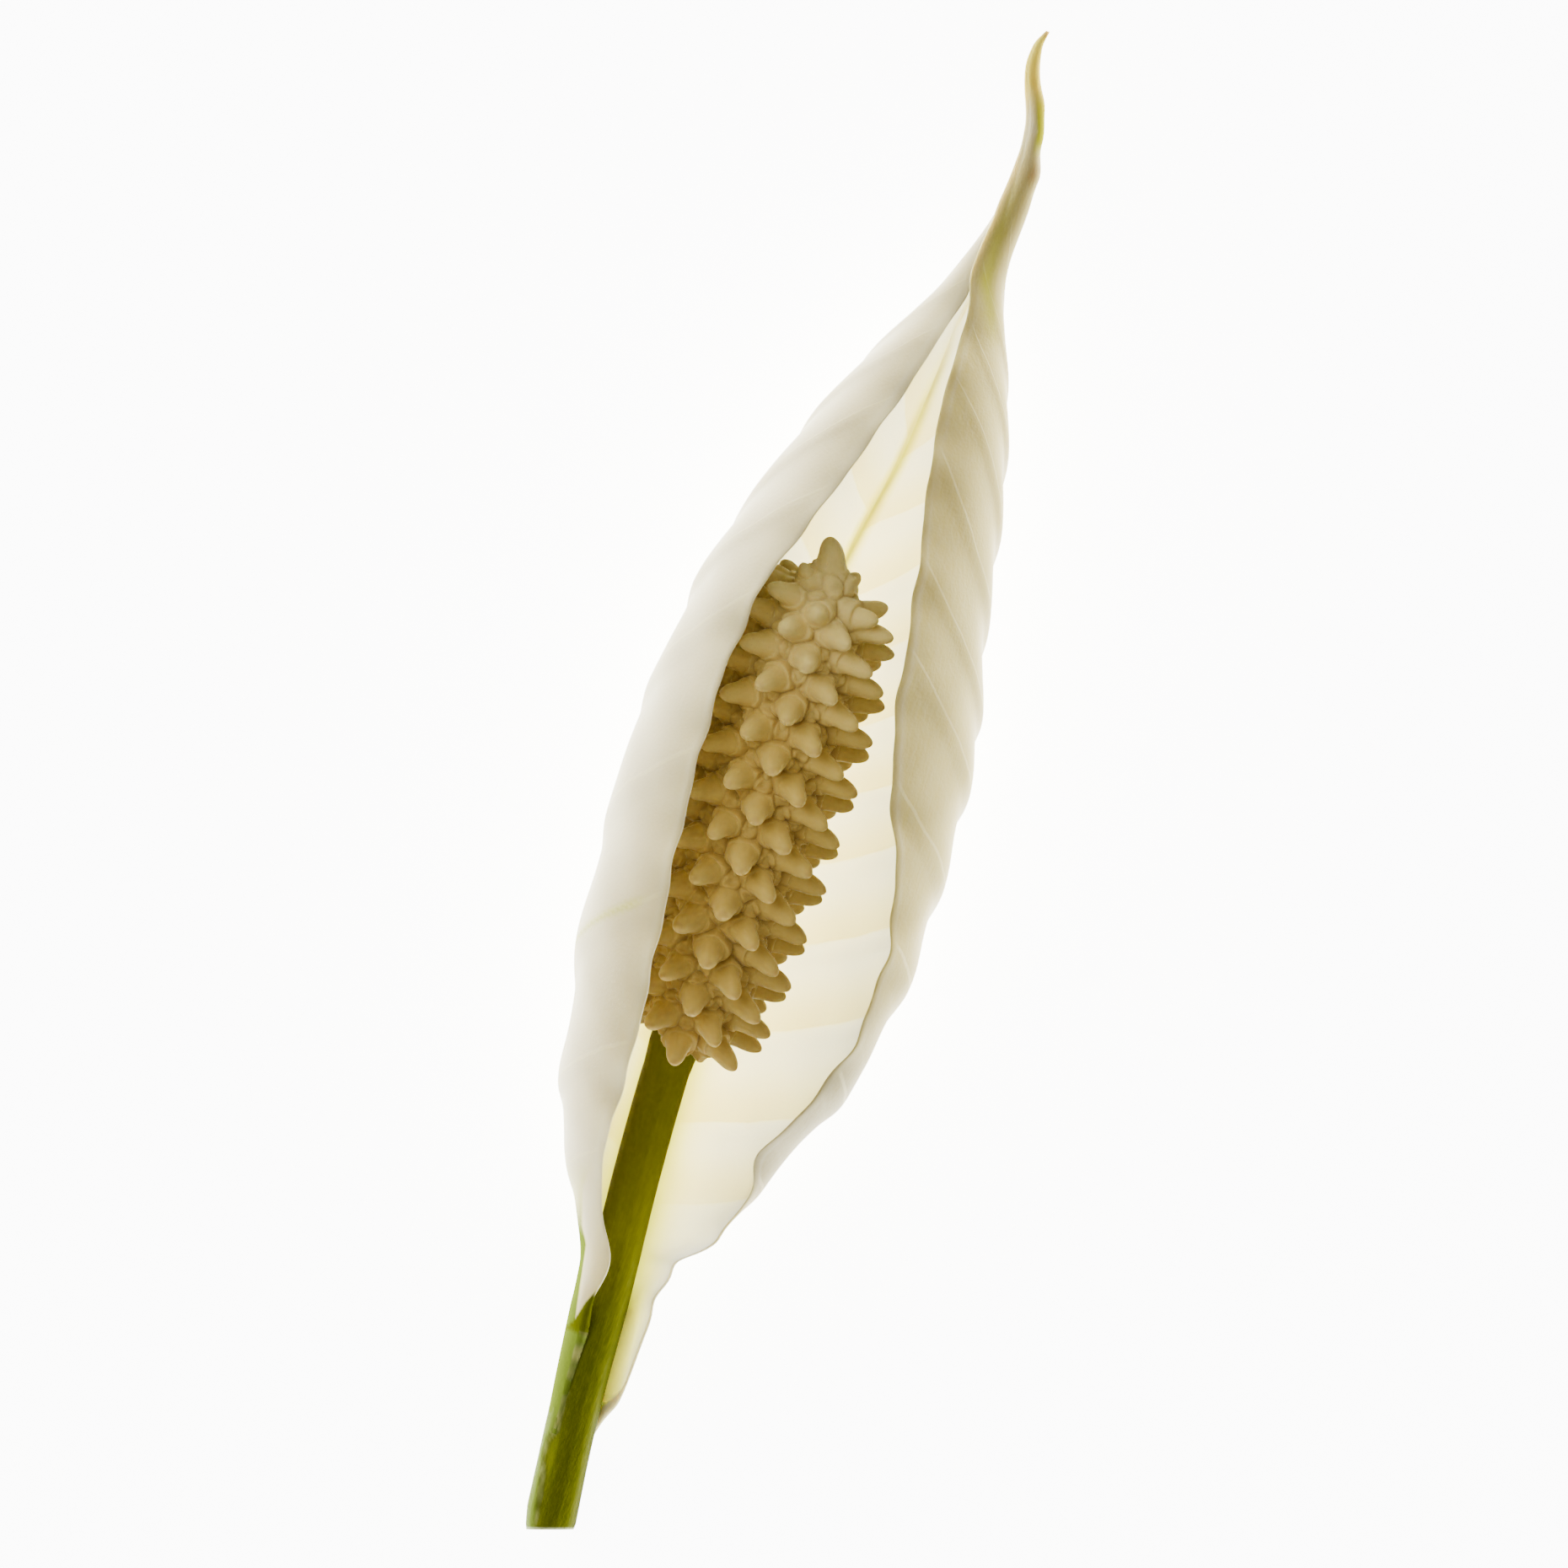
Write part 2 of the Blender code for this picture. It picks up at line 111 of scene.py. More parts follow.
# Cross-sections of the spathe: place; X of its lowest point; share of the clasp round the stem; reach to the
# left, to the right and down, as shares of the greatest; degrees round to the two edges; height of the lowest
# point. None: the spathe clasps the stem.
SPATHE_SECTIONS = [
    (stalk(0.19), None, 1, 0, 0, 0, 140, 48, None),
    (stalk(0.25), None, 1, 0, 0.02, 0, 143, 75, None),
    (stalk(0.32), None, 1, 0, 0.05, 0, 145, 88, None),
    (stalk(0.45), None, 1, 0.02, 0.08, 0.03, 150, 88, None),
    (stalk(0.55), -0.0018, 0.85, 0.06, 0.14, 0.13, 169, 88, 0.0018),
    (stalk(0.64), -0.0017, 0.4, 0.31, 0.33, 0.32, 149, 88, 0.0013),
    (stalk(0.73), -0.0019, 0.2, 0.51, 0.48, 0.51, 147, 96, 0.001),
    (stalk(0.86), -0.0022, 0, 0.72, 0.66, 0.73, 154, 124, 0.0007),
    (chamber(0.0), -0.0024, 0, 0.81, 0.84, 0.86, 157, 121, 0.0004),
    (chamber(0.17), -0.0025, 0, 0.92, 0.96, 0.96, 156, 118, 0.00015),
    (chamber(0.38), -0.0025, 0, 0.98, 1, 0.99, 152, 125, 0.00002),
    (chamber(0.58), -0.0025, 0, 1, 0.98, 1, 149, 140, 0),
    (chamber(0.75), -0.0025, 0, 0.94, 0.93, 1, 147, 147, 0.0001),
    (chamber(0.9), -0.0022, 0, 0.88, 0.81, 0.98, 149, 148, 0.0005),
    (hood(0.04), -0.0012, 0, 0.81, 0.68, 0.88, 155, 153, 0.0014),
    (hood(0.18), 0.0001, 0, 0.72, 0.54, 0.72, 158, 163, 0.0029),
    (hood(0.33), 0.0008, 0, 0.53, 0.385, 0.51, 163, 170, 0.005),
    (hood(0.45), 0.0012, 0, 0.32, 0.235, 0.31, 168, 170, 0.007),
    (hood(0.55), 0.0017, 0, 0.17, 0.126, 0.17, 168, 168, 0.0084),
    (hood(0.7), 0.0028, 0, 0.092, 0.067, 0.092, 165, 165, 0.0096),
    (hood(0.82), 0.0024, 0, 0.062, 0.045, 0.062, 160, 160, 0.01),
    (hood(0.92), 0.0006, 0, 0.048, 0.035, 0.048, 158, 158, 0.0099),
    (hood(0.97), 0.0003, 0, 0.028, 0.021, 0.028, 155, 155, 0.0097),
    (hood(1.0), 0.0007, 0, 0.012, 0.009, 0.012, 150, 150, 0.0096),
]

# ---- what the looks add, in metres where nothing else is said; tables run by place along the bloom

SPATHE_ROWS, SPATHE_COLUMNS = 350, 130
# Where the main side veins cross the outermost line of each wing
LEFT_VEINS = (0.024, 0.031, 0.0385, 0.0502, 0.0625, 0.0754, 0.085, 0.0938, 0.103, 0.111, 0.119,
              0.127, 0.135)
RIGHT_VEINS = (0.024, 0.0345, 0.0445, 0.0557, 0.0652, 0.0741, 0.0812, 0.089, 0.0968, 0.104, 0.111,
               0.118, 0.126, 0.135)
# How far towards the tip a vein runs for each metre out from the keel
VEIN_SLOPE = [(0.02, 0.3), (0.045, 0.45), (0.07, 0.62), (0.095, 0.95), (0.11, 1.5), (0.125, 3), (0.15, 4)]
# Steps in the free margin low on the right wing: place, half width, and change of reach
RIGHT_NOTCHES = [(0.0264, 0.0012, -0.0009), (0.0292, 0.0011, 0.0004), (0.0226, 0.0012, -0.0003)]
ROLL = (0.1135, 0.119)  # over which the hood closes into the rolled tip
TIP_EDGES = (179, 186)  # degrees round to the tip's two margins
TIP_TWIST = [(0.116, 0), (0.1194, 15), (0.1234, 38), (0.1251, 60), (0.128, 86), (0.14, 95)]  # to the left
# Kinks in the rolled tip: place, half width, and step to the right
TIP_KINKS = [(0.1283, 0.0011, 0.0001), (0.1304, 0.001, -0.00008), (0.1346, 0.0011, 0.0001)]
# The tip's right margin laps its left one: over these radians, by this share of the wall or of the reach
LAP_TURN, LAP_WALL, LAP_REACH = 0.7, 0.7, 0.3
FOLD_DEPTH = 0.0005
FOLD_CREST = 0.72  # share of the way between veins over which a fold falls
FOLD_ROUND = [(0, 0.08), (30, 0.35), (70, 0.8), (90, 1), (115, 0.45), (165, 0.15)]  # by degrees from the keel
FOLD_ALONG = [(0.024, 0), (0.034, 0.7), (0.05, 1), (0.1, 1), (0.112, 0.5), (0.122, 0)]
OPENS, CLOSES = (0.026, 0.04), (0.108, 0.122)  # where ripples and waves set in and end
RIPPLE = 0.00012
# Size; and of each of two crossed waves, radians per mm outward and along, and shift
RIPPLES = [(1.0, (0.31, 0.23, 1), (-0.12, 0.17, 2)), (0.5, (0.4, 0.62, 3), (0.45, 0.0, 1))]
WING_SHIFTS = (1.0, 2.3)
MARGIN_WAVE, MARGIN_REACH = 0.00022, 0.0022
MARGIN_WAVES = [(1.0, 0.0085, 1), (0.6, 0.0047, 2)]  # size, length and shift
MARGIN_WALL, MARGIN_TAPER = 0.00026, 0.003
TIP_WALL = 0.4  # at most this share of the reach
MIDRIB_RISE, MIDRIB_WIDTH = 0.00022, 0.00045
MIDRIB_ALONG = [(0.02, 0), (0.045, 1.2), (0.08, 1), (0.105, 0.7), (0.12, 0)]
VEIN_RISE, VEIN_WIDTH = 0.00003, 0.03  # the width is a share of the way between veins
HEM_PLACE, HEM_WIDTH, HEM_RISE = 0.0006, 0.00018, 0.00003
# How far the two faces stand above the stem's skin, low down and where they come free
INNER_RISES, INNER_FREE = (-0.0003, 0.00045), 0.021
OUTER_RISES, OUTER_FREE = (0.00016, 0.00078), (0.006, 0.022)
FUSED_WITHIN, FUSED_BELOW = (0.00005, 0.0007), (0.0205, 0.0235)

# The spathe's colours
SHARP = (-0.0001, 0.0002)  # either side of an edge between two of them
# X of the ends of the white left lobe, and of the green that runs up it
LOBE_EDGE = [(0.0, -0.02), (0.018, -0.0042), (0.0187, -0.0038), (0.0204, -0.0034), (0.0224, -0.0025),
             (0.0245, -0.001)]
TONGUE_EDGE = [(0.0, 0.0), (0.0178, -0.002), (0.0184, -0.0036), (0.0255, -0.0048), (0.0268, -0.0056),
               (0.03, -0.0066)]
LOBE_START = (0.0174, 0.018)
FOOT_FADE, KEEL_FADE, FOOT_SIDE = (0.024, 0.034), (0.02, 0.03), (0.0008, 0.0022)
KEEL_GREEN = [(0.02, 0.9), (0.04, 0.75), (0.07, 0.5), (0.11, 0.35), (0.13, 0.3)]
KEEL_WIDTH = [(0.02, 0.0042), (0.035, 0.003), (0.06, 0.0014), (0.1, 0.0007), (0.13, 0.0004)]
LIP_WIDTH, LIP_END = 0.00014, 0.0183
CREASE_VEIN, CREASE_WIDTH = 3, 0.035
HALO_GREEN = [(0.008, 1.0), (0.03, 0.8), (0.044, 0.65), (0.06, 0.3), (0.07, 0)]
HALO_WIDTH = [(0.02, 0.0018), (0.04, 0.0012)]
MIDRIB_GREEN = [(0.05, 0.0), (0.07, 0.2), (0.092, 0.7), (0.105, 0.52), (0.112, 0.12), (0.118, 0)]
STREAK_X = [(0.113, 0.0046), (0.1159, 0.0034), (0.1178, 0.0024), (0.1219, 0.0021), (0.125, 0.0022)]
STREAK_GREEN = [(0.112, 0), (0.115, 0.5), (0.118, 0.75), (0.122, 0.5), (0.126, 0.15), (0.128, 0)]
STREAK_WIDTH = 0.0007
SPIKE_PLACE, SPIKE_REACH = 0.1328, 0.0026
TIP_YELLOW, TIP_BROWN = (0.1325, 0.1362), (0.1396, 0.1407)
SPOT_X, SPOT_PLACE = (0.0007, 0.0004), (0.1282, 0.0009)  # middle and half width; X from the tip's middle
# Painted shade on the wings: olive and darker from these degrees from the keel on, by place along the bloom
WING_SHADE_ROUND = [(0.03, 20), (0.045, 42), (0.06, 62)]  # degrees from the keel at which it begins
WING_SHADE_ALONG = [(0.026, 0), (0.034, 0.9), (0.045, 1.0), (0.128, 1.0), (0.132, 0.5)]
# Painted shade: a darker band along the right wing's side, low down, by place along the bloom
SIDE_SHADE_ALONG = [(0.031, 0), (0.036, 0.9), (0.046, 0.9), (0.06, 0)]

PISTIL_SIDES = PISTIL_ROWS = 14
PISTIL_FOOT = 0.0007  # how deep a pistil is set into the tepals
PISTIL_FLARE, FLARE_REACH = 0.28, 0.22  # of its foot, as shares of its girth and its length
PISTIL_TAPER = 0.46  # share of its width that it has lost at its tip
PISTIL_ROUND = 0.68  # share of its length at which it begins to round off
PISTIL_TIP = 0.08  # least share of its girth
PISTIL_LOBES = 0.06  # how far it is from round
PISTIL_GIRTHS, PISTIL_LENGTHS = (0.98, 1.09), (0.97, 1.04)
POLE_LENGTH, POLE_GIRTH = 0.87, 1.3
# The last few florets: degrees round from the front, how far short of the pole, and size
POLAR_FLORETS = [(0, 0.0044, 0.95), (-50, 0.002, 0.7), (62, 0.0043, 0.95), (-105, 0.004, 0.9),
                 (150, 0.0032, 0.8)]
POLAR_LENGTH = 0.82
TOP_BEND = Vector((0.24, 0, 0))  # to the left
DROOP = 0.06  # how far a front pistil bends down, as a share of its length
DROOP_START, DROOP_SPAN = 0.004, 0.008  # down from the top of the spadix
SWAY = 0.05
# Corners of a floret's cell: degrees round, and florets further along the spiral
CELL_CORNERS = [(-5, -7.5), (5, -7.5), (19, 0.5), (5, 7.5), (-5, 7.5), (-19, -0.5)]
CELL_LAP = 1.03  # of the flesh under a floret over its neighbours'
CELL_RINGS = (1, 0.66, 0.33, 0.02)
CELL_STEPS = 4  # along each side
AXIS_SHARE = 0.6  # of the core, at most
POLE_GAP = 0.0002
CAP_ROWS, CAP_SIDES = 8, 24
OUTLINE_STEPS = 320
TEPALS = 5
TEPAL_RING = 0.00185  # from the pistil's axis to a tepal's middle
TEPAL_RINGS, TEPAL_TURN = (0.92, 1.1), 0.2  # how much that varies, and the angle in radians
TEPAL_FREE = 0.0015  # least room to another pistil's axis
TEPAL_APART = 0.00105  # least room to another tepal's middle
TEPAL_REACH = 0.003  # how far off a cell can bear on a piece
TEPAL_GIRTH = 0.0005  # how much wider a pistil's cell is than a tepal's
TEPAL_SWELL = 0.00055  # above the seams
SWELL_FROM, SWELL_TO = (-0.0002, 0.0), (0.0007, 0.0013)  # heights above the core
SEAM_WIDTH, SEAM_RISE = 0.00028, 0.0002
VOXEL = 0.00014

STEM_SIDES, STEM_ROWS, AXIS_ROWS = 56, 150, 7
STEM_TOP = 0.97  # share of the stalk at which the axis takes over
RIB_DEPTH = 0.00006
RIBS = [(0.6, 11, 0.4), (0.4, 17, 1.9)]  # share of the depth, number round the stem, and shift
CUT_FACE = [(0.02, 0.00012), (0.45, 0.0001), (0.8, 0.00004), (0.93, 0.0)]  # share of the radius, and hollow
CUT_REACH = 0.006  # how far up the slant of the cut is felt
RIM_DEPTH, RIM_REACH = 0.0001, 0.0003
# The spathe's foot on the stem's left: degrees round to its edge, and how far it stands out
FOOT_EDGE = [(0.0, 220), (0.0016, 218), (0.0043, 226), (0.0062, 239), (0.0075, 236), (0.0087, 216),
             (0.012, 211)]
FOOT_RISE, FOOT_START, FOOT_END = 0.0003, 0.002, (0.015, 0.024)
CREST_RISE, CREST_WIDTH, CREST_START, CREST_END = 0.00009, 0.075, 0.0015, 0.0125
# Painted light: the top of the stalk, in the shade of the spadix, is painted lighter; how much, and over
# which places
UPPER_LIGHT, UPPER_FADE = 0.75, (0.014, 0.036)


def through(points, x):
    """The Catmull-Rom curve through (x, value) points, at x."""
    last = len(points) - 1
    i = max((n for n in range(last) if points[n][0] <= x), default=0)
    (x0, y0), (x1, y1) = points[i], points[i + 1]

    def slope(n):
        before, after = points[max(n - 1, 0)], points[min(n + 1, last)]
        return (after[1] - before[1]) / (after[0] - before[0])

    span = x1 - x0
    t = (x - x0) / span
    rise = t * t * (3 - 2 * t)
    start = slope(i) * span * t * (1 - t) ** 2
    end = slope(i + 1) * span * t * t * (t - 1)
    return y0 + (y1 - y0) * rise + start + end


def read(points, values):
    """The straight lines through (x, value) points, at an array of values."""
    return np.interp(values, [p[0] for p in points], [p[1] for p in points])


def ease(values, low, high):
    """From 0 at low to 1 at high, with no corner at either."""
    t = np.clip((values - low) / (high - low), 0, 1)
    return t * t * (3 - 2 * t)


def window(values, rise, fall):
    """From 0 to 1 over the rise, and back to 0 over the fall."""
    return ease(values, *rise) * (1 - ease(values, *fall))


def peak(values, place, width, power=2):
    """1 at the place, and 1/e at that width to either side."""
    return np.exp(-((values - place) / width) ** power)


def unit(vectors):
    return vectors / np.linalg.norm(vectors, axis=-1, keepdims=True)


def lifted(y, height):
    """The Z of a point at y that stands this high once the bloom lies on its keel."""
    tilt = math.radians(LIE_TILT)
    return (height + y * math.sin(tilt)) / math.cos(tilt)


def stem_height(y):
    if y <= STALK_LENGTH:
        return STEM_RADIUS + (SPADIX_BASE - STEM_RADIUS) * y / STALK_LENGTH
    return SPADIX_BASE + SPADIX_RISE * (y - STALK_LENGTH) / SPADIX_LENGTH


def stem_point(y):
    return Vector((through(STEM_LINE, y), y, lifted(y, stem_height(y))))


# ---- materials

class Paint:
    """A Principled material and the nodes that drive it."""

    def __init__(self, name, roughness, **constants):
        self.material = bpy.data.materials.new(name)
        self.material.use_nodes = True
        self.tree = self.material.node_tree
        self.shader = self.tree.nodes["Principled BSDF"]
        self.set(Roughness=roughness, **constants)
        self.place = self.node("ShaderNodeTexCoord").outputs["Object"]

    def node(self, kind, **settings):
        made = self.tree.nodes.new(kind)
        for name, value in settings.items():
            setattr(made, name, value)
        return made

    def feed(self, socket, value):
        """Link an output, or the attribute of that name, to a socket, or set the socket to a plain value."""
        if isinstance(value, str):
            value = self.node("ShaderNodeAttribute", attribute_name=value).outputs["Fac"]
        if isinstance(value, bpy.types.NodeSocket):
            self.tree.links.new(value, socket)
        elif isinstance(value, tuple) and len(value) == 3 and socket.type == "RGBA":
            socket.default_value = (*value, 1)
        else:
            socket.default_value = value

    def feed_all(self, node, inputs):
        for name, value in inputs.items():
            self.feed(node.inputs[name.replace("_", " ")], value)

    def set(self, **inputs):
        self.feed_all(self.shader, inputs)

    def math(self, operation, *values):
        made = self.node("ShaderNodeMath", operation=operation)
        for socket, value in zip(made.inputs, values):
            self.feed(socket, value)
        return made.outputs[0]

    def times(self, first, second):
        return self.math("MULTIPLY", first, second)

    def band(self, value, low, high, to_low=0.0, to_high=1.0):
        """A smooth step of value, from to_low at low to to_high at high."""
        made = self.node("ShaderNodeMapRange", interpolation_type="SMOOTHSTEP", clamp=True)
        for socket, given in zip(made.inputs, (value, low, high, to_low, to_high)):
            self.feed(socket, given)
        return made.outputs[0]

    def over(self, colour, *layers):
        """The colour with layers over it, each a share and a colour."""
        for share, layer in layers:
            made = self.node("ShaderNodeMix", data_type="RGBA", clamp_factor=True)
            for socket, value in ((0, share), (6, colour), (7, layer)):
                self.feed(made.inputs[socket], value)
            colour = made.outputs[2]
        return colour

    def texture(self, kind, output, vector=None, **inputs):
        made = self.node("ShaderNode" + kind)
        self.feed_all(made, {"Vector": vector or self.place, **inputs})
        return made.outputs[output]

    def noise(self, scale, detail=3.0, roughness=0.5, vector=None):
        return self.texture("TexNoise", "Fac", vector, Scale=scale, Detail=detail, Roughness=roughness)

    def cells(self, scale, vector=None):
        return self.texture("TexVoronoi", "Distance", vector, Scale=scale)

    def stretched(self, x, y, z):
        return self.texture("Mapping", "Vector", Scale=(x, y, z))

    def bumps(self, *layers):
        """A normal with bumps over each other: each a height, its distance and its strength."""
        normal = None
        for height, distance, strength in layers:
            made = self.node("ShaderNodeBump")
            self.feed_all(made, {"Height": height, "Distance": distance, "Strength": strength})
            if normal is not None:
                self.feed(made.inputs["Normal"], normal)
            normal = made.outputs[0]
        return normal


def spathe_paint():
    """Waxy white tissue with fine veins, yellow-green along the midrib, near the stem and at the tip; painted
    shade makes the wings olive and darker and falls in soft bands past the inner face's veins, and the inner
    face's paler cream is partly painted light.
    """
    paint = Paint("spathe_tissue", 0.42, Subsurface_Radius=(1, 0.92, 0.78), IOR=1.42)
    patches = paint.noise(160, 4, 0.55)
    grain = paint.noise(1, 4, 0.6, paint.stretched(2600, 420, 2600))
    wander = paint.times(paint.math("SUBTRACT", paint.noise(260, 2), 0.5), 0.07)
    phase = paint.math("ADD", "vein_phase", wander)
    # painted shade: the inner face darker just past each vein and fading towards the next, for the shade of
    # its pleats
    pleat_shade = paint.band(paint.math("FRACT", phase), 0.05, 0.75, 0.75, 0)
    pleat_shade = paint.times(paint.times(pleat_shade, "vein_strength"), "inner_face")
    main_line = paint.band(paint.math("PINGPONG", phase, 0.5), 0.008, 0.028, 1, 0)
    between = paint.math("PINGPONG", paint.times(phase, 4), 0.5)
    small_line = paint.band(between, 0.03, 0.13, 1, 0)
    veins = paint.math("MAXIMUM", main_line, paint.times(small_line, 0.12))
    veins = paint.times(veins, "vein_strength")

    green = paint.times("green", paint.band(patches, 0.2, 0.8, 1, 1.25))
    leafy = paint.over(
        (0.5, 0.5, 0.035),
        (paint.band(green, 0.4, 0.95), (0.145, 0.2, 0.018)),
        ("inner_face", (0.56, 0.6, 0.07)),
        ("lime", (0.44, 0.42, 0.01)),
        ("stem_side", (0.09, 0.1, 0.0012)),
    )
    colour = paint.over(
        (0.81, 0.72, 0.44),
        (patches, (0.74, 0.65, 0.38)),
        # painted shade: olive and darker on the right wing, fainter on the left wing past its side and on the
        # rolled tip
        ("olive_shade", (0.5, 0.405, 0.115)),
        # painted shade along the right wing's side, low down
        ("side_shade", (0.3, 0.26, 0.115)),
        # the inner face is paler cream: partly the tissue's own colour, partly painted light for the glow of
        # light through the sheet
        (paint.times("inner_face", 0.85), (0.985, 0.95, 0.74)),
        (paint.times(grain, 0.16), (0.76, 0.71, 0.57)),
        (pleat_shade, (0.82, 0.74, 0.46)),
        (paint.times(veins, 0.25), (0.88, 0.8, 0.42)),
        (paint.times("hem", 0.12), (0.88, 0.84, 0.66)),
        (green, leafy),
        ("yellow", (0.72, 0.54, 0.045)),
        (paint.times("brown", paint.band(patches, 0.3, 0.6, 0.7, 1)), (0.3, 0.14, 0.05)),
    )

    normal = paint.bumps((paint.cells(3400), 0.00003, 0.35), (grain, 0.00005, 0.45), (veins, 0.00003, 0.3))
    rough = paint.band(patches, 0.25, 0.75, 0.36, 0.5)
    paint.set(Base_Color=colour, Roughness=rough, Normal=normal)
    paint.set(Subsurface_Scale=paint.band("inner_face", 0, 1, 0.0009, 0.0014))
    # the green that isn't on the inner face lets no light through
    thin = paint.band(paint.times(green, paint.math("SUBTRACT", 1, "inner_face")), 0.2, 0.9, 1, 0)
    paint.set(Subsurface_Weight=paint.times(thin, 0.8), Specular_IOR_Level=paint.times(thin, 0.05))
    return paint.material


def floret_paint():
    """Fleshy tan-yellow tissue, mottled, browner at the worn tips; with painted shade in the seams, low
    between the pistils and towards the foot of the spadix, and painted light towards its top.
    """
    paint = Paint("floret_tissue", 0.46, Subsurface_Weight=0.45, Subsurface_Scale=0.0007,
                  Subsurface_Radius=(1, 0.82, 0.36), IOR=1.42, Specular_IOR_Level=0.12,
                  Sheen_Weight=0.3, Sheen_Roughness=0.45, Sheen_Tint=(1, 0.84, 0.42, 1))
    mottle = paint.noise(900, 4, 0.6)
    flesh = paint.over((0.73, 0.515, 0.105), (mottle, (0.84, 0.635, 0.155)))
    tepals = paint.over((0.64, 0.45, 0.095), (mottle, (0.75, 0.55, 0.135)))
    colour = paint.over(
        tepals,
        (paint.band("height", 0.22, 0.4), flesh),
        # painted shade, darker low down between the pistils
        (paint.band("height", 0.05, 0.3, 0.25, 0), (0.5, 0.33, 0.075)),
        # painted shade in the seams between the cushions
        (paint.times("seam_shade", 0.5), (0.4, 0.25, 0.05)),
        (paint.band("height", 0.92, 0.99, 0, 0.45), (0.62, 0.4, 0.12)),
        # painted shade towards the foot of the spadix, and painted light towards its top
        (paint.band("rise", 0.1, 0.8, 0.5, 0), (0.5, 0.34, 0.075)),
        (paint.band("rise", 0.6, 1, 0, 0.6), (0.95, 0.8, 0.31)),
        (paint.band(paint.cells(2100), 0.05, 0.22, 0.25, 0), (0.62, 0.44, 0.13)),
    )
    normal = paint.bumps((paint.noise(2600), 0.00004, 0.5), (paint.cells(5200), 0.00002, 0.4))
    paint.set(Base_Color=colour, Roughness=paint.band(mottle, 0.3, 0.7, 0.4, 0.54), Normal=normal)
    return paint.material


def stem_paint():
    """Olive-green skin with long streaks, lighter on its left, and a pale cut end; painted shade darkens its
    flanks and back, and painted light brightens the top of the stalk.
    """
    paint = Paint("stem_tissue", 0.38, Subsurface_Weight=0.1, Subsurface_Scale=0.0005,
                  Subsurface_Radius=(0.7, 1, 0.25), IOR=1.42, Specular_IOR_Level=0.01)
    streaks = paint.noise(1, 3, 0.6, paint.stretched(2400, 75, 2400))
    fine = paint.noise(1, 4, 0.65, paint.stretched(7000, 260, 7000))
    bundles = paint.band(paint.cells(2300), 0.1, 0.26, 1, 0)
    light = paint.times("light_side", paint.band(fine, 0.2, 0.8, 0.85, 1))
    colour = paint.over(
        (0.08, 0.096, 0.0022),
        (streaks, (0.118, 0.128, 0.0032)),
        (paint.band(fine, 0.35, 0.75, 0, 0.5), (0.19, 0.195, 0.01)),
        # painted shade on the flanks and back, away from the front
        ("flank_shade", (0.038, 0.047, 0.0012)),
        # painted light on the top of the stalk
        ("upper_light", (0.235, 0.215, 0.004)),
        (light, (0.145, 0.2, 0.018)),
        ("ridge", (0.42, 0.46, 0.12)),
        ("cut", paint.over((0.62, 0.68, 0.36), (bundles, (0.3, 0.37, 0.11)))),
    )
    stomata = paint.cells(4200, vector=paint.stretched(1, 0.35, 1))
    normal = paint.bumps((stomata, 0.00002, 0.4), (fine, 0.00005, 0.5), (streaks, 0.00008, 0.4))
    paint.set(Base_Color=colour, Roughness=paint.band(fine, 0.3, 0.7, 0.32, 0.48), Normal=normal)
    return paint.material


def floor_paint():
    """A white light table: it glows through the thin spathe from below."""
    paint = Paint("pale_floor", 0.7, Emission_Color=(1, 1, 1, 1), Emission_Strength=TABLE_GLOW)
    paint.set(Base_Color=paint.over((0.93, 0.93, 0.93), (paint.noise(9), (0.95, 0.95, 0.95))))
    paint.set(Roughness=paint.band(paint.noise(60), 0.3, 0.7, 0.62, 0.78))
    return paint.material


# ---- pieces

def added(name, data):
    """A new object with this data, in the scene."""
    made = bpy.data.objects.new(name, data)
    bpy.context.scene.collection.objects.link(made)
    return made


def piece_of(name, mesh, material, slot, *nodes):
    """A laid-down object of this mesh that stands for those nodes of the part."""
    mesh.transform(LAID)
    mesh.shade_smooth()
    mesh.materials.clear()
    mesh.materials.append(material)
    piece = added(name, mesh)
    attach(piece, "root")
    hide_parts(*nodes)
    return piece


def store(mesh, name, values):
    made = mesh.attributes.new(name, "FLOAT", "POINT")
    made.data.foreach_set("value", np.asarray(values, np.float32).ravel())


def face_outward(mesh):
    bm = bmesh.new()
    bm.from_mesh(mesh)
    bmesh.ops.recalc_face_normals(bm, faces=bm.faces)
    bm.to_mesh(mesh)
    bm.free()


def close_skin(bm, loops):
    """A closed skin over loops of as many corners each."""
    sides = len(loops[0])
    for below, above in zip(loops, loops[1:]):
        for n in range(sides):
            after = (n + 1) % sides
            bm.faces.new((below[n], below[after], above[after], above[n]))
    bm.faces.new(loops[0][::-1])
    bm.faces.new(loops[-1])


def sweep(name, loops, caps):
    """A skin over loops, a (rows, sides, 3) array, and caps, its faces over the ends."""
    rows, sides, _ = loops.shape
    here = np.arange((rows - 1) * sides).reshape(rows - 1, sides)
    after = np.roll(here, -1, axis=1)
    quads = np.stack((here, after, after + sides, here + sides), axis=-1).reshape(-1, 4)
    mesh = bpy.data.meshes.new(name)
    mesh.from_pydata(loops.reshape(-1, 3).tolist(), [], quads.tolist() + caps)
    face_outward(mesh)
    return mesh


# ---- the spathe

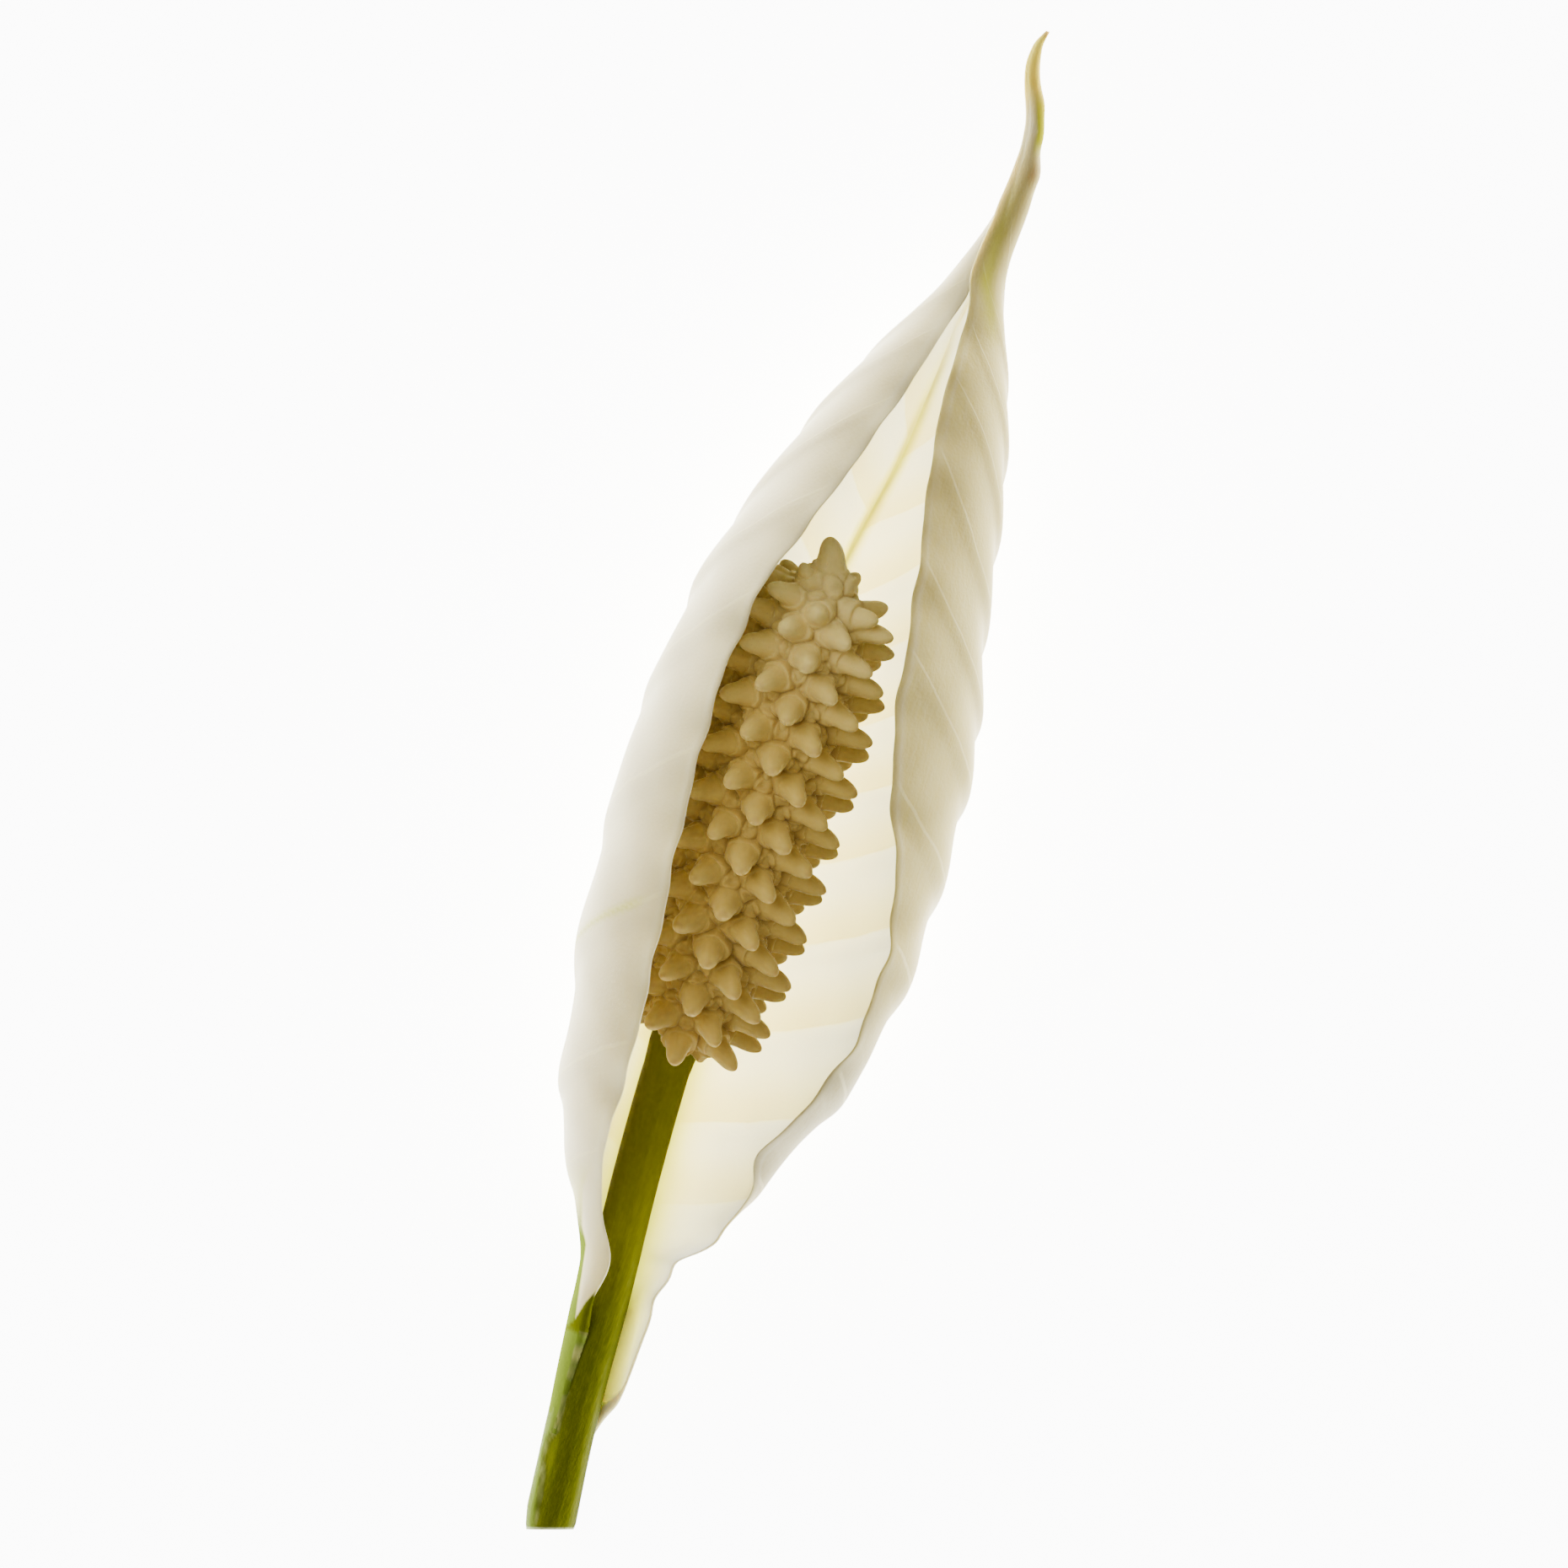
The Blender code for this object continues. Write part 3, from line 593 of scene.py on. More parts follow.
def spathe_curves():
    """The section table as seven curves along the bloom, in metres and radians."""
    rows = []
    for y, offset, clasp, left, right, depth, edge_left, edge_right, height in SPATHE_SECTIONS:
        reaches = ((left, SPATHE_LEFT), (right, SPATHE_RIGHT), (depth, SPATHE_DEPTH))
        rows.append((
            y,
            through(STEM_LINE, y) if offset is None else offset,
            *(clasp * CLASP + share * most for share, most in reaches),
            math.radians(edge_left),
            math.radians(edge_right),
            stem_height(y) - CLASP if height is None else height,
        ))
    return [[(row[0], row[n]) for row in rows] for n in range(1, 8)]


def fold(phase):
    """From 0 to 1: highest on each vein, falling slowly and rising steeply to the next."""
    share = phase % 1
    return 0.5 + 0.5 * np.cos(np.pi * np.minimum(share / FOLD_CREST, (1 - share) / (1 - FOLD_CREST)))


class Spathe:
    """The spathe as grids of rows along the bloom and columns across it."""

    def __init__(self):
        places = np.linspace(SPATHE_SECTIONS[0][0], SPATHE_SECTIONS[-1][0], SPATHE_ROWS + 1)
        rows = [np.array([through(curve, y) for y in places])[:, None] for curve in spathe_curves()]
        offset, left, right, depth, edge_left, edge_right, height = rows
        places = places[:, None]
        rolled = ease(places, *ROLL)
        twist = np.radians(read(TIP_TWIST, places))
        edge_left = edge_left + rolled * (math.radians(TIP_EDGES[0]) - edge_left) - twist
        edge_right = edge_right + rolled * (math.radians(TIP_EDGES[1]) - edge_right) + twist
        for place, width, step in TIP_KINKS:
            kink = step * peak(places, place, width)
            offset, right = offset + kink, right + kink
        for place, width, step in RIGHT_NOTCHES:
            right = right + step * peak(places, place, width)
        across = np.linspace(-1, 1, SPATHE_COLUMNS + 1)[None, :]
        self.left = across < 0
        reach = np.where(self.left, left, right)
        self.angle = across * np.where(self.left, edge_left, edge_right)
        self.y = np.broadcast_to(places, self.angle.shape)
        out = (depth * np.sin(self.angle), self.angle * 0, -reach * np.cos(self.angle))
        self.out = unit(np.stack(out, axis=-1))
        x = offset + reach * np.sin(self.angle)
        z = lifted(self.y, height) + depth * (1 - np.cos(self.angle))
        lapped = ease(self.angle - edge_right, -LAP_TURN, 0) * rolled
        lapped = lapped * np.minimum(SPATHE_WALL * LAP_WALL, LAP_REACH * reach)
        x, z = x + lapped * self.out[:, :, 0], z + lapped * self.out[:, :, 2]
        self.outer = np.stack((x, self.y, z), axis=-1)
        self.measure()
        self.find_veins()
        self.shape()

    def measure(self):
        """Lengths from the midrib and from the nearer margin, and degrees from the keel."""
        steps = np.linalg.norm(np.diff(self.outer, axis=1), axis=-1)
        along = np.concatenate((np.zeros((len(steps), 1)), np.cumsum(steps, axis=1)), axis=1)
        middle = SPATHE_COLUMNS // 2
        self.arc = np.abs(along - along[:, middle:middle + 1])
        self.margin = np.minimum(along, along[:, -1:] - along)
        self.turn = np.degrees(np.abs(self.angle))
        self.side_arc = np.zeros_like(self.arc)
        for row, turn in enumerate(self.turn):
            for part in (slice(middle, None, -1), slice(middle, None)):
                self.side_arc[row, part] = np.interp(90, turn[part], self.arc[row, part])

    def find_veins(self):
        """vein_phase is a whole number on each main vein."""
        crossing = self.y + read(VEIN_SLOPE, self.y) * (self.side_arc - self.arc)
        left = np.interp(crossing, LEFT_VEINS, range(len(LEFT_VEINS)))
        right = np.interp(crossing, RIGHT_VEINS, range(len(RIGHT_VEINS)))
        self.phase = np.where(self.left, left, right)

    def shape(self):
        """Folds, ripples and waved margins, and an inner face with its midrib."""
        y_mm, arc_mm = self.y / MM, self.arc / MM
        pleat = read(FOLD_ROUND, self.turn) * read(FOLD_ALONG, self.y)
        lift = FOLD_DEPTH * pleat * (fold(self.phase) - 0.5)
        side = np.where(self.left, *WING_SHIFTS)
        open_part = window(self.y, OPENS, CLOSES)
        swell = 0
        for size, *waves in RIPPLES:
            one, other = (np.sin(out * arc_mm + on * y_mm + shift * side) for out, on, shift in waves)
            swell = swell + size * one * other
        lift = lift + RIPPLE * swell * open_part
        near = np.exp(-self.margin / MARGIN_REACH)
        wave = 0
        for size, length, shift in MARGIN_WAVES:
            wave = wave + size * np.sin(2 * np.pi * self.y / length + shift * side)
        lift = lift + MARGIN_WAVE * wave * near * open_part
        self.hem = peak(self.margin, HEM_PLACE, HEM_WIDTH) * open_part
        self.outer = self.outer + self.out * (lift + HEM_RISE * self.hem)[..., None]

        wall = MARGIN_WALL + (SPATHE_WALL - MARGIN_WALL) * np.minimum(1, self.margin / MARGIN_TAPER)
        reach = np.abs(self.outer[:, :, 0] - self.outer[:, SPATHE_COLUMNS // 2, 0][:, None]).max(axis=1)
        wall = np.minimum(wall, TIP_WALL * reach[:, None])
        ridge = MIDRIB_RISE * read(MIDRIB_ALONG, self.y) * peak(self.arc, 0, MIDRIB_WIDTH)
        ridge = ridge + VEIN_RISE * peak(self.phase % 1, 0, VEIN_WIDTH) * pleat
        self.inner = self.outer - self.out * (wall + ridge)[..., None]
        self.fuse_to_stem()

    def fuse_to_stem(self):
        """Low down, the inner face runs into the stem and the outer one comes down onto it."""
        middle = np.array([stem_point(y) for y in self.y[:, 0]])[:, None, [0, 2]]
        inner = np.where(self.y < INNER_FREE, *INNER_RISES)
        outer = OUTER_RISES[0] + (OUTER_RISES[1] - OUTER_RISES[0]) * ease(self.y, *OUTER_FREE)
        for face, rise in ((self.inner, inner), (self.outer, outer)):
            flat = face[:, :, [0, 2]] - middle
            distance = np.linalg.norm(flat, axis=-1)
            close = 1 - ease(distance - CLASP, *FUSED_WITHIN)
            close = close * (1 - ease(self.y, *FUSED_BELOW))
            scale = 1 + close * ((STEM_RADIUS + rise) / distance - 1)
            face[:, :, [0, 2]] = middle + flat * scale[..., None]

    def lips(self, column, step):
        """Three points round the margin at that column, from the outer face to the inner."""
        outer, inner = self.outer[:, column], self.inner[:, column]
        middle, half = (outer + inner) / 2, (outer - inner) / 2
        onward = unit(outer - self.outer[:, column - step])
        size = np.linalg.norm(half, axis=-1, keepdims=True)
        turns = (math.pi / 4, math.pi / 2, 3 * math.pi / 4)
        points = [middle + half * math.cos(turn) + onward * size * math.sin(turn) for turn in turns]
        return np.stack(points, axis=1)

    def around(self, grid, inner=None):
        """A grid of values, or one for each face, in the order of the skin's loops."""
        inner = grid if inner is None else inner
        right = np.repeat(grid[:, -1:], 3, axis=1)
        left = np.repeat(grid[:, :1], 3, axis=1)
        return np.concatenate((grid, right, inner[:, ::-1], left), axis=1)

    def loops(self):
        right, left = self.lips(-1, 1), self.lips(0, -1)
        return np.concatenate((self.outer, right, self.inner[:, ::-1], left[:, ::-1]), axis=1)

    def caps(self):
        """Faces over the two ends of the skin."""
        columns = SPATHE_COLUMNS + 1
        sides = 2 * columns + 6
        faces = []
        for first in (0, SPATHE_ROWS * sides):
            inner = [first + columns + 3 + SPATHE_COLUMNS - n for n in range(columns)]
            for n in range(SPATHE_COLUMNS):
                faces.append([first + n, first + n + 1, inner[n + 1], inner[n]])
            faces.append([first + SPATHE_COLUMNS, *(first + columns + n for n in range(3)), inner[-1]])
            faces.append([inner[0], *(first + 2 * columns + 3 + n for n in range(3)), first])
        return faces


def lobe_end(spathe):
    """Where the white left lobe has ended and what shows is the colour of the stem."""
    past = ease(spathe.outer[:, :, 0] - read(LOBE_EDGE, spathe.y), *SHARP) * spathe.left
    past = past * ease(spathe.y, *LOBE_START) * (spathe.y < LOBE_EDGE[-1][0])
    return past * ease(spathe.turn, 60, 90)


def spathe_greens(spathe):
    """How green the outer and the inner face are, and how yellow and brown both are."""
    y, x = spathe.y, spathe.outer[:, :, 0]
    stem_x = np.array([through(STEM_LINE, min(v, chamber(1.0))) for v in y[:, 0]])[:, None]
    tongue = ease(read(TONGUE_EDGE, y) - x, *SHARP)
    foot = (1 - ease(y, *FOOT_FADE)) * np.where(x > stem_x, 1, tongue)
    foot = foot * (1 - ease(x - stem_x, *FOOT_SIDE))
    foot = np.where(spathe.turn < 60, np.maximum(foot, 1 - ease(y, *KEEL_FADE)), foot)
    lip = peak(spathe.margin, 0, LIP_WIDTH) * (y < LIP_END) * spathe.left
    foot = foot * (1 - lip * (0.17 + 0.15 * np.sin(y * 2100) * np.sin(y * 870)))
    foot = np.maximum(foot, lobe_end(spathe))
    keel = read(KEEL_GREEN, y) * peak(spathe.arc, 0, read(KEEL_WIDTH, y))
    crease = peak(spathe.phase, CREASE_VEIN, CREASE_WIDTH) * spathe.left * ease(spathe.turn, 75, 95)
    crease = 0.5 * crease * ease(spathe.margin, 0.001, 0.004)
    streak = 0.9 * read(STREAK_GREEN, y) * peak(x, read(STREAK_X, y), STREAK_WIDTH)
    beside_tip = x - read_tip(y)
    spike = 0.95 * peak(y, SPIKE_PLACE, SPIKE_REACH, 4) * ease(beside_tip, -0.0001, 0.0004)
    outer = np.maximum(np.maximum(foot, keel), crease)
    outer = np.maximum(outer, np.maximum(streak, spike) * (spathe.turn > 80))

    beside_stem = np.maximum(np.abs(x - stem_x) - STEM_RADIUS, 0)
    halo = read(HALO_GREEN, y) * peak(beside_stem, 0, read(HALO_WIDTH, y), 1.3) * (spathe.turn < 120)
    inner = np.maximum(halo, read(MIDRIB_GREEN, y) * peak(spathe.arc, 0, 0.0005))

    yellow = 0.9 * ease(y, *TIP_YELLOW)
    spot = peak(y, *SPOT_PLACE) * peak(beside_tip, *SPOT_X)
    brown = np.maximum(0.5 * spot, 0.8 * ease(y, *TIP_BROWN))
    return outer, inner, yellow, brown


def read_tip(y):
    """The middle of the rolled tip, as an offset."""
    return read([(section[0], section[1] or 0) for section in SPATHE_SECTIONS if section[0] > 0.1], y)


def make_spathe(material):
    spathe = Spathe()
    y, turn = spathe.y, spathe.turn
    outer_green, inner_green, yellow, brown = spathe_greens(spathe)
    strength = ease(y, 0.026, 0.036) * (1 - ease(y, 0.118, 0.128))
    # painted shade: olive and darker on the right wing's outer face, fainter on the left wing past its side
    # and on the rolled tip
    wing_shade = np.where(spathe.left, 0, ease(turn - read(WING_SHADE_ROUND, y), 0, 50)) * read(WING_SHADE_ALONG, y)
    wing_shade = np.maximum(wing_shade, 0.45 * ease(turn, 95, 150) * spathe.left)
    # painted shade: darker along the right wing's side, low down
    side_shade = np.where(spathe.left, 0, ease(turn, 78, 96)) * read(SIDE_SHADE_ALONG, y)
    mesh = sweep("spathe_petal", spathe.loops(), spathe.caps())
    for name, *faces in (
        ("green", outer_green, inner_green),
        ("yellow", yellow),
        ("brown", brown),
        ("inner_face", y * 0, y * 0 + 1),
        ("vein_phase", spathe.phase),
        ("vein_strength", strength * ease(spathe.margin, 0.0002, 0.001)),
        ("hem", spathe.hem),
        ("stem_side", lobe_end(spathe)),
        ("lime", ease(y, 0.108, 0.113)),
        # painted shade, olive and darker on the wings
        ("olive_shade", np.maximum(wing_shade, 0.3 * ease(y, 0.114, 0.12))),
        # painted shade along the right wing's side
        ("side_shade", side_shade),
    ):
        store(mesh, name, spathe.around(*faces))
    return piece_of("spathe_petal", mesh, material, "spathe_white", "spathe")


# ---- the florets

class Core:
    """The spadix without its pistils: a rounded column, measured along its outline from its foot."""

    def __init__(self):
        self.base = stem_point(STALK_LENGTH)
        along = stem_point(chamber(1.0)) - self.base
        self.length = along.length
        self.along = along.normalized()
        self.front = (Vector((0, 0, 1)) - self.along * self.along.z).normalized()
        self.right = self.along.cross(self.front)
        half = (self.length - CORE_FOOT - TIP_REACH) / 2
        turn = np.linspace(0, math.pi, 2001)
        power = 2 / CORE_ROUNDNESS
        self.radii = CORE_RADIUS * np.abs(np.sin(turn)) ** power
        self.places = CORE_FOOT + half - half * np.sign(np.cos(turn)) * np.abs(np.cos(turn)) ** power
        steps = np.hypot(np.diff(self.radii), np.diff(self.places))
        self.arcs = np.concatenate(([0], np.cumsum(steps)))
        self.climb = (self.arcs[-1] - CORE_END - CROWN_END) / (RING * RINGS + RING - 1)

    def arc(self, count):
        """Where floret number count stands, along the outline."""
        return CORE_END + (count + RING / 2) * self.climb

    def read(self, arc):
        return np.interp(arc, self.arcs, self.radii), np.interp(arc, self.arcs, self.places)

    def outline(self, arc):
        """Radius and place of the outline, and its outward direction as (radial, along)."""
        radius, place = self.read(arc)
        before, after = self.read(arc - self.climb / 4), self.read(arc + self.climb / 4)
        spread, rise = after[0] - before[0], after[1] - before[1]
        size = math.hypot(rise, spread)
        return radius, place, rise / size, -spread / size

    def sideways(self, angle):
        return self.front * math.cos(angle) + self.right * math.sin(angle)

    def at(self, angle, radius, place):
        return self.base + self.sideways(angle) * radius + self.along * place

    def normal(self, angle, radial, along):
        return self.sideways(angle) * radial + self.along * along


def floret_angle(count):
    return math.radians(FIRST_FLORET + TURN * count)


def add_block(bm, core, count, angle):
    """The flesh under one floret, from beside the axis out to the seams."""
    corners = np.array(CELL_CORNERS) * CELL_LAP
    edge = []
    for corner, following in zip(corners, np.roll(corners, -1, axis=0)):
        edge += [corner + (following - corner) * step / CELL_STEPS for step in range(CELL_STEPS)]
    top = core.arcs[-1] - POLE_GAP

    def loop_at(share, sunk=False):
        loop = []
        for turn, step in edge:
            radius, place, radial, along = core.outline(min(core.arc(count + step * share), top))
            side = angle + math.radians(turn * share)
            if sunk:
                point = core.at(side, min(AXIS_RADIUS + CLEARANCE, radius * AXIS_SHARE), place)
            else:
                point = core.at(side, radius, place) + core.normal(side, radial, along) * SEAM_RISE
            loop.append(bm.verts.new(point))
        return loop

    close_skin(bm, [loop_at(1, sunk=True), *(loop_at(share) for share in CELL_RINGS)])


def add_cap(bm, core):
    """The flesh that closes the top of the spadix, above the last whole ring."""
    rows = []
    for arc in np.linspace(core.arc(RING * (RINGS + 0.5)), core.arcs[-1] - POLE_GAP / 2, CAP_ROWS):
        radius, place, radial, along = core.outline(arc)
        rows.append((radius + SEAM_RISE * radial, place + SEAM_RISE * along))
    rows.append((POLE_GAP, rows[-1][1]))
    turns = [math.tau * n / CAP_SIDES for n in range(CAP_SIDES)]
    close_skin(bm, [[bm.verts.new(core.at(turn, *row)) for turn in turns] for row in rows])


def frame_at(out, up):
    """A turn whose Z is out and whose Y is as near up as it can be."""
    side = up.cross(out).normalized()
    return Matrix((side, out.cross(side), out)).transposed()


def add_pistil(bm, foot, turned, length, girth, bend, chance):
    """A blunt, slightly three-sided cone that stands on foot and bends by bend."""
    lobes = chance.uniform(0, math.tau)
    rows = []
    for row in range(PISTIL_ROWS):
        share = math.sin(row / (PISTIL_ROWS - 1) * math.pi / 2)
        height = share * (length + PISTIL_FOOT) - PISTIL_FOOT
        climbed = max(0.0, height / length)
        rounding = max(0.0, (climbed - PISTIL_ROUND) / (1 - PISTIL_ROUND))
        flare = PISTIL_FLARE * math.exp(-(climbed / FLARE_REACH) ** 2)
        radius = girth * (1 + flare - PISTIL_TAPER * climbed) * math.sqrt(max(0.0, 1 - rounding ** 2))
        radius = max(radius, girth * PISTIL_TIP)
        shift = bend * climbed ** 1.4 * length
        loop = []
        for n in range(PISTIL_SIDES):
            turn = math.tau * n / PISTIL_SIDES
            wide = radius * (1 + PISTIL_LOBES * math.cos(3 * turn + lobes) * (1 - climbed))
            point = Vector((wide * math.cos(turn), wide * math.sin(turn), height)) + shift
            loop.append(bm.verts.new(foot + turned @ point))
        rows.append(loop)
    close_skin(bm, rows)


def stand_at(core, arc, angle):
    """The foot of a pistil there on the core, and a turn whose Z is outward."""
    radius, place, radial, along = core.outline(arc)
    return core.at(angle, radius, place), frame_at(core.normal(angle, radial, along), core.along)


def stand(core, count):
    """Where floret number count stands. The last one stands on the pole."""
    if count == RING * (RINGS + 1):
        return core.at(0, 0, core.length - TIP_REACH), frame_at(core.along, core.front)
    return stand_at(core, core.arc(count), floret_angle(count))


def polar_stands(core):
    """Where the last few florets stand, between the spiral's end and the pole, and their sizes."""
    top = core.arcs[-1]
    return [(*stand_at(core, top - sunk, math.radians(turn)), size) for turn, sunk, size in POLAR_FLORETS]


def cell_middles(core):
    """The middles of the pistils' and tepals' cells, and what each is widened by."""
    stands = [stand(core, count) for count in range(RING * (RINGS + 1) + 1)]
    feet = [foot for foot, _ in stands] + [foot for foot, _, _ in polar_stands(core)]
    kept = []
    for count, (foot, turned) in enumerate(stands):
        chance = random.Random(count)
        start = chance.uniform(0, math.tau)
        for n in range(TEPALS):
            turn = start + math.tau * n / TEPALS + chance.uniform(-TEPAL_TURN, TEPAL_TURN)
            far = TEPAL_RING * chance.uniform(*TEPAL_RINGS)
            point = foot + turned @ Vector((far * math.cos(turn), far * math.sin(turn), 0))
            if min((point - other).length for other in feet if other is not foot) < TEPAL_FREE:
                continue
            if any((point - other).length < TEPAL_APART for other in kept):
                continue
            kept.append(point)
    widths = [TEPAL_GIRTH] * len(feet) + [0.0] * len(kept)
    return np.array(feet + kept), np.array(widths)


def add_floret(bm, core, count, chance):
    angle = floret_angle(count)
    radius, place, _, _ = core.outline(core.arc(count))
    foot, turned = stand(core, count)
    add_block(bm, core, count, angle)
    lowered = min(1.0, max(0.0, (core.length - place - DROOP_START) / DROOP_SPAN))
    droop = -DROOP * (max(0.0, math.cos(angle)) * lowered) - SWAY
    bend = Vector((chance.uniform(-SWAY, SWAY), droop + chance.uniform(-SWAY, SWAY), 0))
    slim = 0.72 + 0.28 * radius / CORE_RADIUS
    girth = PISTIL_RADIUS * slim * chance.uniform(*PISTIL_GIRTHS)
    length = PISTIL_LENGTH * (0.78 + 0.22 * slim) * chance.uniform(*PISTIL_LENGTHS)
    add_pistil(bm, foot, turned, length, girth, bend, chance)


def fused(name, bm):
    """The touching solids of bm as one smoothed skin."""
    bmesh.ops.recalc_face_normals(bm, faces=bm.faces)
    rough = bpy.data.meshes.new(name + "_rough")
    bm.to_mesh(rough)
    bm.free()
    work = added(name + "_rough", rough)
    remesh = work.modifiers.new("skin", "REMESH")
    remesh.mode = "VOXEL"
    remesh.voxel_size = VOXEL
    soften = work.modifiers.new("soften", "SMOOTH")
    soften.factor = 0.5
    soften.iterations = 3
    evaluated = work.evaluated_get(bpy.context.evaluated_depsgraph_get())
    mesh = bpy.data.meshes.new_from_object(evaluated)
    bpy.data.objects.remove(work)
    bpy.data.meshes.remove(rough)
    mesh.name = name
    return mesh


def pave(mesh, core, middles, widths):
    """Raise the flesh between the pistils into cushions, and store how high each point is."""
    points = np.zeros(len(mesh.vertices) * 3, np.float32)
    mesh.vertices.foreach_get("co", points)
    points = points.reshape(-1, 3).astype(float)
    along, base = np.array(core.along), np.array(core.base)
    place = (points - base) @ along
    spread = points - base - place[:, None] * along
    radius = np.linalg.norm(spread, axis=1)
    arcs = np.linspace(0, core.arcs[-1], OUTLINE_STEPS)
    radii, places = core.read(arcs)
    gaps, nearest = np.full(len(points), 1.0), np.zeros(len(points), int)
    for n in range(OUTLINE_STEPS):
        gap = np.hypot(radius - radii[n], place - places[n])
        nearest = np.where(gap < gaps, n, nearest)
        gaps = np.minimum(gaps, gap)
    slopes = unit(np.stack((np.gradient(radii), np.gradient(places)), axis=1))[nearest]
    slid = (radius - radii[nearest]) * slopes[:, 0] + (place - places[nearest]) * slopes[:, 1]
    foot_radius = np.maximum(0, radii[nearest] + slid * slopes[:, 0])
    foot_place = places[nearest] + slid * slopes[:, 1]
    gaps = np.hypot(radius - foot_radius, place - foot_place)
    sideways = spread / np.maximum(radius, 1e-9)[:, None]
    foot = base + foot_place[:, None] * along + foot_radius[:, None] * sideways
    spots = (middles - base) @ along
    close = (spots > place.min() - TEPAL_REACH) & (spots < place.max() + TEPAL_REACH)
    middles, widths = middles[close], widths[close]
    first, second = np.full(len(points), 1.0), np.full(len(points), 1.0)
    for middle, width in zip(middles, widths):
        far = np.linalg.norm(foot - middle, axis=1) - width
        second = np.minimum(second, np.maximum(first, far))
        first = np.minimum(first, far)
    cushion = 1 - np.exp(-((second - first) / SEAM_WIDTH) ** 1.3)
    outward = (radius - foot_radius) * slopes[:, 1] - (place - foot_place) * slopes[:, 0]
    height = np.where(outward < 0, -gaps, gaps)
    skin = window(height, SWELL_FROM, SWELL_TO)
    out = slopes[:, 1][:, None] * sideways - slopes[:, 0][:, None] * along
    points = points + out * (TEPAL_SWELL * cushion * skin)[:, None]
    mesh.vertices.foreach_set("co", points.astype(np.float32).ravel())
    mesh.update()
    store(mesh, "height", np.clip(height / PISTIL_LENGTH, 0, 1))
    # how deep in a seam each point lies, for the painted shade there
    store(mesh, "seam_shade", (1 - cushion) * skin)
    # place along the spadix, for its painted shade low down and painted light near the top
    store(mesh, "rise", place / core.length)


def make_florets(material):
    core = Core()
    middles, widths = cell_middles(core)
    groups = [(f"florets_{ring + 1:02d}", f"floret_ring_{ring + 1:02d}") for ring in range(RINGS)]
    for ring, (name, node) in enumerate([*groups, ("florets_crown", "floret_crown")]):
        chance = random.Random(ring + 11)
        bm = bmesh.new()
        for count in range(RING * ring, RING * (ring + 1)):
            add_floret(bm, core, count, chance)
        if ring == RINGS:
            add_cap(bm, core)
            length, girth = PISTIL_LENGTH * POLE_LENGTH, PISTIL_RADIUS * POLE_GIRTH
            add_pistil(bm, *stand(core, RING * (RINGS + 1)), length, girth, TOP_BEND, chance)
            for foot, turned, size in polar_stands(core):
                length, girth = PISTIL_LENGTH * POLAR_LENGTH * size, PISTIL_RADIUS * size
                add_pistil(bm, foot, turned, length, girth, Vector(), chance)
        mesh = fused(name, bm)
        pave(mesh, core, middles, widths)
        piece_of(name, mesh, material, "floret_cream", node)


# ---- the stem

def make_stem(material):
    """The stem from its slanting cut up through the florets, ribbed, with the spathe's foot on its left."""
    core = Core()
    neck = core.outline(core.arc(-RING / 2))[1]
    end = core.outline(core.arc(RING * RINGS - RING / 2))[1] - 2 * CLEARANCE
    turns = np.linspace(0, math.tau, STEM_SIDES, endpoint=False)
    slope = math.tan(math.radians(CUT_SLANT))
    loops, marks = [], []

    def add_loop(middle, radius, slant=0.0, hollow=0.0, light=0.0, ridge=0.0, cut=0.0):
        x, z = radius * np.sin(turns), -radius * np.cos(turns)
        loops.append(np.stack((middle.x + x, middle.y + x * slope * slant + hollow, middle.z + z), axis=-1))
        marks.append([turns * 0 + mark for mark in (light, ridge, cut)])

    for share, hollow in CUT_FACE:
        add_loop(stem_point(0.0), STEM_RADIUS * share, 1.0, hollow, cut=1.0)
    for row in range(STEM_ROWS):
        y = STALK_LENGTH * STEM_TOP * row / (STEM_ROWS - 1)
        ribs = sum(share * np.sin(number * turns + shift) for share, number, shift in RIBS)
        edge = math.radians(read(FOOT_EDGE, y))
        on_left = window(turns, (edge - 0.04, edge + 0.1), (5.9, 6.28)) * (1 - ease(y, *FOOT_END))
        crest = peak(turns, edge, CREST_WIDTH) * min(1.0, y / CREST_START) * (y < CREST_END)
        radius = STEM_RADIUS - RIB_DEPTH * (0.5 - 0.5 * ribs)
        radius = radius + FOOT_RISE * min(1.0, y / FOOT_START) * on_left + CREST_RISE * crest
        radius = radius - RIM_DEPTH * peak(y, 0, RIM_REACH)
        ridge = crest * (0.55 + 0.45 * math.sin(y * 2300) * math.sin(y * 900))
        slant = 1 - min(1.0, y / CUT_REACH)
        add_loop(stem_point(y), radius, slant, light=on_left, ridge=ridge, cut=float(y == 0))
    for row in range(AXIS_ROWS):
        place = neck + (end - neck) * row / (AXIS_ROWS - 1)
        add_loop(core.base + core.along * place, AXIS_RADIUS)
    loops, rows = np.array(loops), len(loops)
    caps = [list(range(STEM_SIDES)), [(rows - 1) * STEM_SIDES + n for n in range(STEM_SIDES)]]
    mesh = sweep("stem", loops, caps)
    for name, values in zip(("light_side", "ridge", "cut"), np.array(marks).swapaxes(0, 1)):
        store(mesh, name, values)
    # painted light, lighter towards the top of the stalk
    store(mesh, "upper_light", np.repeat(UPPER_LIGHT * ease(loops[:, 0, 1], *UPPER_FADE), STEM_SIDES))
    # painted shade, darker on the stem's flanks and back
    store(mesh, "flank_shade", np.tile(1 - ease(-np.cos(turns), -0.1, 0.75), rows))
    return piece_of("stem", mesh, material, "stem_green", "flower_stem")


# ---- the stage

